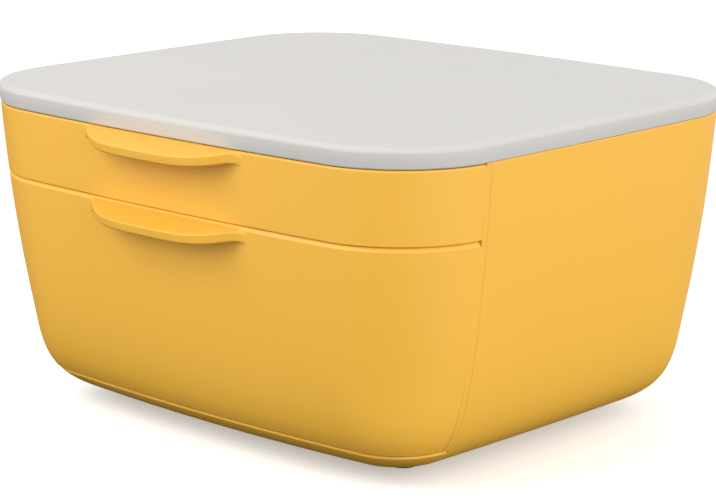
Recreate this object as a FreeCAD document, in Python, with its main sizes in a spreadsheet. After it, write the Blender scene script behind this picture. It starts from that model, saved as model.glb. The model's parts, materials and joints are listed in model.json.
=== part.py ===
import FreeCAD, Part
import Sketcher
import math
import os
from FreeCAD import Vector, Placement, Rotation

# Desktop drawer unit: a tapered, bowed tub with two drawers and a flat lid.
# Millimetres. Every piece is drawn in the body frame (z = 0 on the underside of
# the tub, y = 0 at the middle of the tub's depth, front towards -Y) and then
# placed so that the origin is the middle of the whole thing's footprint, on
# the surface that the feet rest on.

os.makedirs("parts", exist_ok=True)
doc = FreeCAD.newDocument("desktop_drawer_unit")
sheet = doc.addObject("Spreadsheet::Sheet", "Dims")
val = {}
row = [1]


def cell(alias, value, note=""):
    r = row[0]
    sheet.set("A%d" % r, alias)
    sheet.set("B%d" % r, str(value))
    sheet.set("C%d" % r, note)
    sheet.setAlias("B%d" % r, alias)
    val[alias] = float(value)
    row[0] += 1


# ---- driving dimensions -------------------------------------------------
cell("half_width", 184.0, "half the tub's width at its rim")
cell("half_depth", 159.05, "half the tub's depth at its rim, on the centre line")
cell("bow_front", 7.74, "sagitta of the front and back walls")
cell("bow_side", 1.86, "sagitta of the side walls")
cell("depth_taper", 0.965, "inset along the depth for each unit of inset along the width")
cell("wall", 2.8, "tub and drawer front wall")
cell("case_top", 183.4, "rim of the tub")
cell("seam", 141.3, "joint between the two drawer fronts")
cell("seam_gap", 0.7, "open gap at that joint")
cell("sill", 18.9, "top of the sill under the lower drawer front")
cell("sill_gap", 0.7, "open gap above the sill")
cell("upper_front_top", 183.0, "top edge of the upper drawer front")
cell("joint_y", -89.1, "joint between tub and guide panel")
cell("joint_gap", 0.5, "open gap at that joint")
cell("strip_width", 4.6, "visible edge of the guide panel")
cell("front_end_gap", 0.3, "gap between a drawer front's end and that strip")
cell("lid_under", 183.9, "lower edge of the lid's skirt")
cell("lid_top", 195.7, "top face of the lid")
cell("lid_flare", 1.05, "the lid's side leans out by this much")
cell("lid_edge", 3.9, "rounding of the lid's top edge")
cell("lid_wall", 3.0, "lid wall and top")
cell("lid_step", 1.4, "width of the shadow step under the lid")
cell("plan_shift", 8.4, "moves the tub back so that the handles are inside the footprint")
cell("foot_gap", 3.0, "feet stand this far below the tub")
cell("foot_radius", 9.0, "")
cell("foot_x", 106.0, "")
cell("foot_y", 73.0, "")
cell("foot_peg", 3.0, "radius of the peg that holds a foot")
cell("panel_in", 152.0, "inner face of a guide panel")
cell("panel_wall", 2.5, "")
cell("tray_half", 142.0, "half the outer width of a tray")
cell("tray_wall", 1.8, "")
cell("tray_floor", 2.0, "")
cell("rim_out", 147.6, "outer edge of a tray's sliding rim")
cell("rim_thick", 2.0, "")
cell("upper_tray_floor", 143.2, "underside of the upper tray")
cell("upper_tray_top", 179.7, "rim of the upper tray")
cell("lower_tray_floor", 22.3, "underside of the lower tray")
cell("lower_tray_top", 137.6, "rim of the lower tray")
cell("upper_tray_depth", 153.0, "half its depth on the centre line")
cell("lower_tray_depth", 151.3, "half its depth at the rim, on the centre line")
cell("lower_base_half", 134.0, "half its width at the floor")
cell("lower_base_depth", 127.0, "half its depth at the floor")
cell("lower_base_corner", 30.0, "")
cell("tray_corner", 14.0, "")
cell("tray_edge", 8.0, "rounding between a tray's walls and floor")
cell("runner_wall", 1.6, "")
cell("runner_in", 145.6, "inner edge of a runner's ledges")
cell("runner_slot", 2.8, "height of a runner's slot")
cell("upper_runner", 175.6, "underside of an upper runner")
cell("lower_runner", 133.5, "underside of a lower runner")
cell("lip_reach", 17.8, "how far a handle lip stands out")
cell("lip_half", 65.0, "half the length of a handle lip")
cell("lip_slope", 0.265, "fall of a lip's top face, per unit of reach")
cell("lip_thick", 5.5, "height of a lip's front edge")
cell("upper_lip", 182.9, "root of the upper lip's top face")
cell("lower_lip", 139.3, "root of the lower lip's top face")
cell("divider_z", 139.6, "underside of the divider shelf")
cell("divider_thick", 1.6, "")
cell("divider_flange", 12.0, "")
cell("screw_head_radius", 2.7, "")
cell("screw_head", 1.4, "")
cell("screw_radius", 1.25, "")
cell("pilot", 1.3, "")
cell("hole", 1.6, "clearance hole for a screw")
cell("boss", 3.6, "radius of a screw boss")
cell("peg", 2.0, "radius of a runner's peg")
cell("peg_hole", 2.1, "")

# Sections of the tub: height, inset of the wall along the width, plan corner
# radius, and the inward normal of the wall's profile there.
LEVELS = [
    (0.0, 66.0, 22.6, 0.25, 0.968),
    (2.2, 59.02, 24.16, 0.2736, 0.9618),
    (5.0, 50.4, 26.16, 0.3495, 0.9369),
    (8.5, 42.39, 28.65, 0.4578, 0.889),
    (13.0, 35.16, 31.86, 0.6036, 0.7973),
    (19.0, 28.84, 36.06, 0.7669, 0.6418),
    (27.0, 23.56, 41.43, 0.8855, 0.4647),
    (38.0, 18.97, 48.12, 0.9482, 0.3175),
    (54.0, 14.67, 55.63, 0.9765, 0.2154),
    (76.0, 10.64, 59.79, 0.9881, 0.1535),
    (104.0, 6.86, 61.52, 0.993, 0.1182),
    (140.0, 3.11, 62.98, 0.996, 0.0894),
    (183.4, 0.0, 63.6, 0.9987, 0.0513),
]
for i, (lz, li, lr, nx, nz) in enumerate(LEVELS):
    cell("level_%02d" % i, lz, "height of section %d" % i)
    cell("inset_%02d" % i, li, "inset of section %d" % i)
    cell("corner_%02d" % i, lr, "plan corner radius of section %d" % i)
    cell("normal_x_%02d" % i, nx, "")
    cell("normal_z_%02d" % i, nz, "")
doc.recompute()

D = "Dims."


def num(expr):
    """Plain arithmetic on sheet names: + - * / ( ) only."""
    toks = []
    s = expr.replace(" ", "")
    i = 0
    while i < len(s):
        c = s[i]
        if c in "+-*/()":
            toks.append(c)
            i += 1
        else:
            j = i
            while j < len(s) and s[j] not in "+-*/()":
                j += 1
            w = s[i:j]
            toks.append(val[w[len(D):]] if w.startswith(D) else float(w))
            i = j
    pos = [0]

    def factor():
        t = toks[pos[0]]
        pos[0] += 1
        if t == "(":
            v = total()
            pos[0] += 1
            return v
        if t == "-":
            return -factor()
        return t

    def product():
        v = factor()
        while pos[0] < len(toks) and toks[pos[0]] in ("*", "/"):
            op = toks[pos[0]]
            pos[0] += 1
            w = factor()
            v = v * w if op == "*" else v / w
        return v

    def total():
        v = product()
        while pos[0] < len(toks) and toks[pos[0]] in ("+", "-"):
            op = toks[pos[0]]
            pos[0] += 1
            w = product()
            v = v + w if op == "+" else v - w
        return v

    return total()


# ---- sketched outlines --------------------------------------------------
def corner_centre(a, b, rf, rs, r):
    """Centre of the corner arc that touches the front arc and the side."""
    x, y = a - r, -(b - r)
    for _ in range(60):
        if rs is None:
            f1 = x - (a - r)
            j1 = (1.0, 0.0)
        else:
            q = math.hypot(x - (a - rs), y)
            f1 = q - (rs - r)
            j1 = ((x - (a - rs)) / q, y / q)
        q = math.hypot(x, y - (rf - b))
        f2 = q - (rf - r)
        j2 = (x / q, (y - (rf - b)) / q)
        det = j1[0] * j2[1] - j1[1] * j2[0]
        dx = (f1 * j2[1] - f2 * j1[1]) / det
        dy = (j1[0] * f2 - j2[0] * f1) / det
        x -= dx
        y -= dy
        if abs(dx) + abs(dy) < 1e-12:
            break
    return x, y


def arc(cx, cy, r, a0, a1):
    return Part.ArcOfCircle(Part.Circle(Vector(cx, cy, 0), Vector(0, 0, 1), r), a0, a1)


def bowed_outline(sk, half_x, half_y, radius, front_r, side_r=None):
    """Rounded outline with bowed front and back; the sides bow too where
    side_r is given. Every argument is a sheet expression."""
    a, b, r, rf = num(half_x), num(half_y), num(radius), num(front_r)
    rs = num(side_r) if side_r else None
    cx, cy = corner_centre(a, b, rf, rs, r)
    fy = rf - b
    tf = math.atan2(cy - fy, cx)            # front arc's end, seen from its centre
    if rs is None:
        ts = 0.0
    else:
        ts = math.atan2(cy, cx - (a - rs))  # side arc's start
    C, A = Sketcher.Constraint, arc
    g = []
    front = sk.addGeometry(A(0, fy, rf, -math.pi - tf, tf), False)
    fr = sk.addGeometry(A(cx, cy, r, tf, ts), False)
    if rs is None:
        right = sk.addGeometry(Part.LineSegment(Vector(a, cy, 0), Vector(a, -cy, 0)), False)
    else:
        right = sk.addGeometry(A(a - rs, 0, rs, ts, -ts), False)
    rr = sk.addGeometry(A(cx, -cy, r, -ts, -tf), False)
    rear = sk.addGeometry(A(0, -fy, rf, -tf, math.pi + tf), False)
    rl = sk.addGeometry(A(-cx, -cy, r, math.pi + tf, math.pi + ts), False)
    if rs is None:
        left = sk.addGeometry(Part.LineSegment(Vector(-a, -cy, 0), Vector(-a, cy, 0)), False)
    else:
        left = sk.addGeometry(A(-a + rs, 0, rs, math.pi + ts, math.pi - ts), False)
    fl = sk.addGeometry(A(-cx, cy, r, math.pi - ts, math.pi - tf), False)
    ring = [front, fr, right, rr, rear, rl, left, fl]
    for p, q in zip(ring, ring[1:] + ring[:1]):
        sk.addConstraint(C("Tangent", p, 2, q, 1))
    for e in (front, rear):
        sk.addConstraint(C("PointOnObject", e, 3, -2))
    if rs is not None:
        for e in (left, right):
            sk.addConstraint(C("PointOnObject", e, 3, -1))

    def named(con, name, expr):
        n = sk.addConstraint(con)
        sk.renameConstraint(n, name)
        sk.setExpression("Constraints." + name, expr)

    named(C("Radius", front, rf), "front_radius", front_r)
    named(C("Radius", rear, rf), "rear_radius", front_r)
    named(C("DistanceY", -1, 1, front, 3, fy), "front_centre", "%s - (%s)" % (front_r, half_y))
    named(C("DistanceY", rear, 3, -1, 1, fy), "rear_centre", "%s - (%s)" % (front_r, half_y))
    for n, e in enumerate((fr, rr, rl, fl)):
        named(C("Radius", e, r), "corner_radius_%d" % n, radius)
    if rs is None:
        named(C("DistanceX", -1, 1, right, 1, a), "right_half", half_x)
        named(C("DistanceX", left, 1, -1, 1, a), "left_half", half_x)
    else:
        named(C("Radius", right, rs), "right_radius", side_r)
        named(C("Radius", left, rs), "left_radius", side_r)
        named(C("DistanceX", right, 3, -1, 1, rs - a), "right_centre", "%s - (%s)" % (side_r, half_x))
        named(C("DistanceX", -1, 1, left, 3, rs - a), "left_centre", "%s - (%s)" % (side_r, half_x))


def level_terms(i):
    hx = "(%shalf_width - %sinset_%02d)" % (D, D, i)
    hy = "(%shalf_depth - %sdepth_taper * %sinset_%02d)" % (D, D, D, i)
    fr = "((%s * %s + %sbow_front * %sbow_front) / (2 * %sbow_front))" % (hx, hx, D, D, D)
    sr = "((%s * %s + %sbow_side * %sbow_side) / (2 * %sbow_side))" % (hy, hy, D, D, D)
    return hx, hy, fr, sr, D + "corner_%02d" % i


def tub_section(name, i, off, lift):
    """One level of the tub's outside, moved in along its normal by off."""
    hx, hy, fr, sr, cr = level_terms(i)
    o = "%s * %snormal_x_%02d" % (off, D, i) if off else "0"
    sk = doc.addObject("Sketcher::SketchObject", name)
    z = D + "level_%02d" % i
    if off:
        z += " + %s * %snormal_z_%02d" % (off, D, i)
    if lift:
        z += " + " + lift
    sk.Placement = Placement(Vector(0, 0, num(z)), Rotation())
    sk.setExpression("Placement.Base.z", z)
    bowed_outline(sk, "%s - %s" % (hx, o), "%s - %s" % (hy, o), "%s - %s" % (cr, o),
                  "%s - %s" % (fr, o), "%s - %s" % (sr, o))
    return sk


def loft(name, sections):
    ob = doc.addObject("Part::Loft", name)
    ob.Sections = sections
    ob.Solid = True
    ob.Ruled = True
    ob.Closed = False
    return ob


def box(name, x0, x1, y0, y1, z0, z1):
    """Box between sheet expressions."""
    ob = doc.addObject("Part::Box", name)
    for prop, lo, hi in (("Length", x0, x1), ("Width", y0, y1), ("Height", z0, z1)):
        setattr(ob, prop, num(hi) - num(lo))
        ob.setExpression(prop, "(%s) - (%s)" % (hi, lo))
    for ax, lo in (("x", x0), ("y", y0), ("z", z0)):
        ob.setExpression("Placement.Base." + ax, lo)
    ob.Placement = Placement(Vector(num(x0), num(y0), num(z0)), Rotation())
    return ob


TURN = {"+Z": Rotation(), "-Z": Rotation(Vector(1, 0, 0), 180),
        "+X": Rotation(Vector(0, 1, 0), 90), "-X": Rotation(Vector(0, 1, 0), -90),
        "+Y": Rotation(Vector(1, 0, 0), -90), "-Y": Rotation(Vector(1, 0, 0), 90)}


def rod(name, radius, length, x, y, z, way):
    """Cylinder from a point along a row axis."""
    ob = doc.addObject("Part::Cylinder", name)
    ob.Placement = Placement(Vector(num(x), num(y), num(z)), TURN[way])
    ob.Radius = num(radius)
    ob.Height = num(length)
    ob.setExpression("Radius", radius)
    ob.setExpression("Height", length)
    for ax, e in (("x", x), ("y", y), ("z", z)):
        ob.setExpression("Placement.Base." + ax, e)
    return ob


def fuse(name, shapes):
    ob = doc.addObject("Part::MultiFuse", name)
    ob.Shapes = shapes
    ob.Refine = False
    return ob


def common(name, shapes):
    ob = doc.addObject("Part::MultiCommon", name)
    ob.Shapes = shapes
    return ob


def cut(name, base, tool):
    ob = doc.addObject("Part::Cut", name)
    ob.Base = base
    ob.Tool = tool
    return ob


finals = []


def piece(ob, label):
    """A finished sub-part: its label names it, its placement puts it in the
    frame of the whole unit."""
    ob.Label = label
    ob.Placement = Placement(Vector(0, val["plan_shift"], val["foot_gap"]), Rotation())
    ob.setExpression("Placement.Base.y", D + "plan_shift")
    ob.setExpression("Placement.Base.z", D + "foot_gap")
    finals.append(ob)
    return ob


def origin_plane(body, role):
    return [f for f in body.Origin.OriginFeatures if f.Role == role][0]


def body_sketch(body, name, role, offset):
    sk = body.newObject("Sketcher::SketchObject", name)
    sk.AttachmentSupport = [(origin_plane(body, role), "")]
    sk.MapMode = "FlatFace"
    if offset:
        sk.AttachmentOffset = Placement(Vector(0, 0, num(offset)), Rotation())
        sk.setExpression("AttachmentOffset.Base.z", offset)
    return sk


# ---- the tub's outside and inside ---------------------------------------
last = len(LEVELS) - 1
outer = loft("tub_outside", [tub_section("outside_%02d" % i, i, None, None) for i in range(last + 1)])
inner = loft("tub_inside", [tub_section("inside_%02d" % i, i, D + "wall", None) for i in range(last + 1)]
             + [tub_section("inside_top", last, D + "wall", "8")])
doc.recompute()
for ob in (outer, inner):
    print(ob.Name, ob.Shape.isValid(), round(ob.Shape.Volume), ob.Shape.BoundBox)

BIG = "220"
SIDES = (("left", -1.0), ("right", 1.0))


def sx(side, lo, hi):
    """x range of a box on one side: lo and hi are distances from the middle."""
    return (lo, hi) if side > 0 else ("0 - (%s)" % hi, "0 - (%s)" % lo)


def px(side, x):
    return x if side > 0 else "0 - (%s)" % x


# ---- case shell ---------------------------------------------------------
PANEL_SCREWS = [(-60, 100), (76, 100), (-60, 44), (72, 44)]
mouth = box("front_mouth", "0 - " + BIG, BIG, "0 - " + BIG,
            D + "joint_y + " + D + "joint_gap / 2", D + "sill", BIG)
bosses = []
for sname, s in SIDES:
    for n, (y, z) in enumerate(PANEL_SCREWS):
        reach = {100: 175.0, 44: 163.4}[z]
        bosses.append(rod("panel_boss_%s_%d" % (sname, n), D + "boss", "%g - %spanel_in - %spanel_wall" % (reach, D, D),
                          px(s, D + "panel_in + " + D + "panel_wall"), str(y), str(z), "+X" if s > 0 else "-X"))
pilots = []
for sname, s in SIDES:
    for n, (y, z) in enumerate(PANEL_SCREWS):
        pilots.append(rod("panel_pilot_%s_%d" % (sname, n), D + "pilot", "8",
                          px(s, D + "panel_in + " + D + "panel_wall"), str(y), str(z), "+X" if s > 0 else "-X"))
peg_holes = []
for n, (fx, fy) in enumerate(((1, -1), (-1, -1), (1, 1), (-1, 1))):
    peg_holes.append(rod("foot_hole_%d" % n, D + "foot_peg + 0.05", "8",
                         px(fx, D + "foot_x"), px(fy, D + "foot_y"), "0 - 2", "+Z"))
shell_a = cut("shell_hollow", outer, inner)
shell_b = cut("shell_open", shell_a, mouth)
shell_c = fuse("shell_bossed", [shell_b] + bosses)
shell = cut("case_shell_cut", shell_c, fuse("shell_holes", pilots + peg_holes))
piece(shell, "case_shell")

# ---- guide panels -------------------------------------------------------
PANEL_OUTLINE = [(-93.7, 32.0), (96.0, 32.0), (107.0, 46.0), (118.0, 60.0), (130.0, 110.0),
                 (138.0, 146.0), (138.0, 183.4), (-93.7, 183.4)]
LID_SCREWS = (-60.0, 30.0, 112.0)
DIVIDER_SCREWS = (-60.0, 105.0)
PEGS = (-70.0, 25.0, 118.0)
for sname, s in SIDES:
    sk = doc.addObject("Sketcher::SketchObject", "panel_outline_" + sname)
    sk.Placement = Placement(Vector(0, 0, 0), Rotation(Vector(0, 1, 0), Vector(0, 0, 1), Vector(1, 0, 0), "XYZ"))
    pts = PANEL_OUTLINE
    for p, q in zip(pts, pts[1:] + pts[:1]):
        sk.addGeometry(Part.LineSegment(Vector(p[0], p[1], 0), Vector(q[0], q[1], 0)), False)
    for i in range(len(pts)):
        sk.addConstraint(Sketcher.Constraint("Coincident", i, 2, (i + 1) % len(pts), 1))
    for i, p in enumerate(pts):
        for kind, v, nm in (("DistanceX", p[0], "y"), ("DistanceY", p[1], "z")):
            n = sk.addConstraint(Sketcher.Constraint(kind, -1, 1, i, 1, v))
            sk.renameConstraint(n, "point_%s_%d" % (nm, i))
    for i in (6, 7):
        sk.setExpression("Constraints.point_z_%d" % i, D + "case_top")
    for i in (0, 7):
        sk.setExpression("Constraints.point_y_%d" % i,
                         D + "joint_y - " + D + "strip_width")
    plate = doc.addObject("Part::Extrusion", "panel_plate_" + sname)
    plate.Base = sk
    plate.DirMode = "Custom"
    plate.Dir = Vector(1, 0, 0)
    plate.LengthFwd = val["panel_wall"]
    plate.setExpression("LengthFwd", D + "panel_wall")
    plate.Solid = True
    x0 = px(s, D + "panel_in") if s > 0 else "0 - %spanel_in - %spanel_wall" % (D, D)
    plate.Placement = Placement(Vector(num(x0), 0, 0), Rotation())
    plate.setExpression("Placement.Base.x", x0)
    lo, hi = sx(s, D + "panel_in", BIG)
    strip = common("panel_strip_" + sname, [outer, box("panel_strip_box_" + sname, lo, hi,
                   D + "joint_y - " + D + "strip_width", D + "joint_y - " + D + "joint_gap / 2",
                   D + "sill + " + D + "sill_gap", D + "case_top")])
    lo, hi = sx(s, D + "panel_in", "167")
    flange = box("panel_flange_" + sname, lo, hi, "0 - 80", "128", D + "case_top - 2.1", D + "case_top")
    holes = []
    way = "+X" if s > 0 else "-X"
    for n, (y, z) in enumerate(PANEL_SCREWS):
        holes.append(rod("panel_hole_%s_%d" % (sname, n), D + "hole", "6",
                         px(s, D + "panel_in - 1"), str(y), str(z), way))
    for n, y in enumerate(DIVIDER_SCREWS):
        holes.append(rod("divider_hole_%s_%d" % (sname, n), D + "pilot", "6",
                         px(s, D + "panel_in - 1"), "%g" % y if y > 0 else "0 - %g" % -y,
                         D + "divider_z + 7", way))
    for rn in ("upper", "lower"):
        for n, y in enumerate(PEGS):
            holes.append(rod("peg_hole_%s_%s_%d" % (rn, sname, n), D + "peg_hole", "6",
                             px(s, D + "panel_in - 1"), "%g" % y if y > 0 else "0 - %g" % -y,
                             D + rn + "_runner + " + D + "runner_wall + " + D + "runner_slot / 2", way))
    for n, y in enumerate(LID_SCREWS):
        holes.append(rod("lid_hole_%s_%d" % (sname, n), D + "hole", "6",
                         px(s, "161"), "%g" % y if y > 0 else "0 - %g" % -y, D + "case_top - 4", "+Z"))
    body_ = fuse("panel_body_" + sname, [plate, strip, flange])
    piece(cut("guide_panel_%s_cut" % sname, body_, fuse("panel_holes_" + sname, holes)), "guide_panel_" + sname)

# ---- runners ------------------------------------------------------------
for rn, y1 in (("upper", "134"), ("lower", "126")):
    for sname, s in SIDES:
        base = D + rn + "_runner"
        tall = "2 * %srunner_wall - 0.4 + %srunner_slot" % (D, D)
        lo, hi = sx(s, D + "runner_in", D + "panel_in")
        block = box("runner_block_%s_%s" % (rn, sname), lo, hi, "0 - 86", y1, base, base + " + " + tall)
        lo, hi = sx(s, D + "runner_in - 1", D + "panel_in - " + D + "runner_wall")
        slot = box("runner_slot_%s_%s" % (rn, sname), lo, hi, "0 - 82", "150",
                   base + " + " + D + "runner_wall", base + " + " + D + "runner_wall + " + D + "runner_slot")
        lo, hi = sx(s, D + "runner_in - 1", D + "rim_out + 0.7")
        slot_b = box("runner_throat_%s_%s" % (rn, sname), lo, hi, "0 - 90", "150",
                     base + " + " + D + "runner_wall", base + " + " + D + "runner_wall + " + D + "runner_slot")
        pegs = [rod("runner_peg_%s_%s_%d" % (rn, sname, n), D + "peg", D + "panel_wall + 0.5",
                    px(s, D + "panel_in - 0.5"), "%g" % y if y > 0 else "0 - %g" % -y,
                    base + " + " + D + "runner_wall + " + D + "runner_slot / 2", "+X" if s > 0 else "-X")
                for n, y in enumerate(PEGS)]
        run = fuse("runner_%s_%s" % (rn, sname),
                   [cut("runner_cut_%s_%s" % (rn, sname), block,
                        fuse("runner_tool_%s_%s" % (rn, sname), [slot, slot_b]))] + pegs)
        piece(run, "%s_runner_%s" % (rn, sname))

# ---- divider shelf ------------------------------------------------------
div = doc.addObject("PartDesign::Body", "divider_body")
sk = body_sketch(div, "divider_profile", "XZ_Plane", None)
h = num(D + "panel_in - 0.2")
t = val["divider_thick"]
z0 = val["divider_z"]
fl_ = val["divider_flange"]
pts = [(-h, z0), (h, z0), (h, z0 + fl_), (h - t, z0 + fl_), (h - t, z0 + t), (-h + t, z0 + t), (-h + t, z0 + fl_), (-h, z0 + fl_)]
for p, q in zip(pts, pts[1:] + pts[:1]):
    sk.addGeometry(Part.LineSegment(Vector(p[0], p[1], 0), Vector(q[0], q[1], 0)), False)
for i in range(8):
    sk.addConstraint(Sketcher.Constraint("Coincident", i, 2, (i + 1) % 8, 1))
for i in (2, 4, 6):
    sk.addConstraint(Sketcher.Constraint("Horizontal", i))
for i in (1, 3, 5, 7):
    sk.addConstraint(Sketcher.Constraint("Vertical", i))
sk.addConstraint(Sketcher.Constraint("Symmetric", 0, 1, 0, 2, -2))
for con, nm, ex in ((Sketcher.Constraint("DistanceX", -1, 1, 0, 2, h), "half", D + "panel_in - 0.2"),
                    (Sketcher.Constraint("DistanceY", -1, 1, 0, 2, z0), "level", D + "divider_z"),
                    (Sketcher.Constraint("DistanceY", 1, 1, 1, 2, fl_), "flange", D + "divider_flange"),
                    (Sketcher.Constraint("DistanceX", 2, 2, 2, 1, t), "thick_right", D + "divider_thick"),
                    (Sketcher.Constraint("DistanceX", 6, 2, 6, 1, t), "thick_left", D + "divider_thick"),
                    (Sketcher.Constraint("DistanceY", 0, 2, 3, 2, t), "thick", D + "divider_thick")):
    n = sk.addConstraint(con)
    sk.renameConstraint(n, nm)
    sk.setExpression("Constraints." + nm, ex)
sk.addConstraint(Sketcher.Constraint("Horizontal", 1, 2, 6, 2))
pad = div.newObject("PartDesign::Pad", "divider_pad")
pad.Profile = sk
pad.Length = 214.0
pad.Reversed = False
sk.AttachmentOffset = Placement(Vector(0, 0, -128.0), Rotation())
holes = body_sketch(div, "divider_screw_holes", "YZ_Plane", None)
for n, y in enumerate(DIVIDER_SCREWS):
    g = holes.addGeometry(Part.Circle(Vector(y, z0 + 7, 0), Vector(0, 0, 1), val["hole"]), False)
    k = holes.addConstraint(Sketcher.Constraint("Radius", g, val["hole"]))
    holes.renameConstraint(k, "hole_%d" % n)
    holes.setExpression("Constraints.hole_%d" % n, D + "hole")
    holes.addConstraint(Sketcher.Constraint("DistanceX", -1, 1, g, 3, y))
    k = holes.addConstraint(Sketcher.Constraint("DistanceY", -1, 1, g, 3, z0 + 7))
    holes.renameConstraint(k, "level_%d" % n)
    holes.setExpression("Constraints.level_%d" % n, D + "divider_z + 7")
doc.recompute()
vol = div.Shape.Volume
pk = div.newObject("PartDesign::Pocket", "divider_pocket")
pk.Profile = holes
pk.Type = 1
pk.Midplane = True
doc.recompute()
print("divider", round(vol), round(div.Shape.Volume), div.Shape.BoundBox)
piece(div, "divider_shelf")

# ---- drawers ------------------------------------------------------------
FRONT_SCREWS = {"upper": ((-110, 161), (110, 161), (-45, 161), (45, 161)),
                "lower": ((-105, 112), (105, 112), (-95, 62), (95, 62))}
TIPS = {}
TRAY_FR = "((%shalf_width * %shalf_width + %sbow_front * %sbow_front) / (2 * %sbow_front))" % (D, D, D, D, D)


# Quarter round in four steps: share of the radius up from the floor, and in
# from the wall.
ROUND = ((0.0, 1.0), (0.134, 0.5), (0.5, 0.134), (1.0, 0.0))


def tray_stack(b, rn, kind, name, lift, off, edge, over):
    """Loft of a tray's outside or inside, with a rounded edge at the floor."""
    top = D + rn + "_tray_top"
    flo = D + rn + "_tray_floor"
    if rn == "upper":
        base = (D + "tray_half", D + "upper_tray_depth", D + "tray_corner")
    else:
        base = (D + "lower_base_half", D + "lower_base_depth", D + "lower_base_corner")
    rim = (D + "tray_half", D + rn + "_tray_depth", D + "tray_corner")
    sks = []
    steps = [("(%s + %s + %g * (%s))" % (flo, lift, up, edge), "(%s + %g * (%s))" % (off, inn, edge))
             for up, inn in ROUND] + [("(%s)" % top, off)]
    if over:
        steps.append(("(%s + 3)" % top, off))
    for n, (z, o) in enumerate(steps):
        def mix(i):
            if rn == "upper" or n >= len(ROUND):
                return rim[i]
            return "(%s + (%s - %s) * (%s - %s) / (%s - %s))" % (base[i], rim[i], base[i], z, flo, top, flo)
        k = body_sketch(b, "%s_%d" % (name, n), "XY_Plane", z)
        bowed_outline(k, "%s - %s" % (mix(0), o), "%s - %s" % (mix(1), o), "%s - %s" % (mix(2), o),
                      "%s - %s" % (TRAY_FR, o))
        sks.append(k)
    lo = b.newObject(kind, name)
    lo.Profile = sks[0]
    lo.Sections = sks[1:]
    lo.Ruled = True
    doc.recompute()
    return lo


def straight(sk, lo, hi, y0, y1, nm):
    """Rectangle in a sketch between sheet expressions."""
    a, b_, c, d = num(lo), num(hi), num(y0), num(y1)
    pts = [(a, c), (b_, c), (b_, d), (a, d)]
    g = [sk.addGeometry(Part.LineSegment(Vector(p[0], p[1], 0), Vector(q[0], q[1], 0)), False)
         for p, q in zip(pts, pts[1:] + pts[:1])]
    C = Sketcher.Constraint
    for i in range(4):
        sk.addConstraint(C("Coincident", g[i], 2, g[(i + 1) % 4], 1))
    for i in (0, 2):
        sk.addConstraint(C("Horizontal", g[i]))
    for i in (1, 3):
        sk.addConstraint(C("Vertical", g[i]))
    for con, n2, ex in ((C("DistanceX", -1, 1, g[0], 1, a), "x0", lo), (C("DistanceX", -1, 1, g[0], 2, b_), "x1", hi),
                        (C("DistanceY", -1, 1, g[0], 1, c), "y0", y0), (C("DistanceY", -1, 1, g[2], 1, d), "y1", y1)):
        n = sk.addConstraint(con)
        sk.renameConstraint(n, nm + "_" + n2)
        if "Dims" in ex:
            sk.setExpression("Constraints." + nm + "_" + n2, ex)


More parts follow.
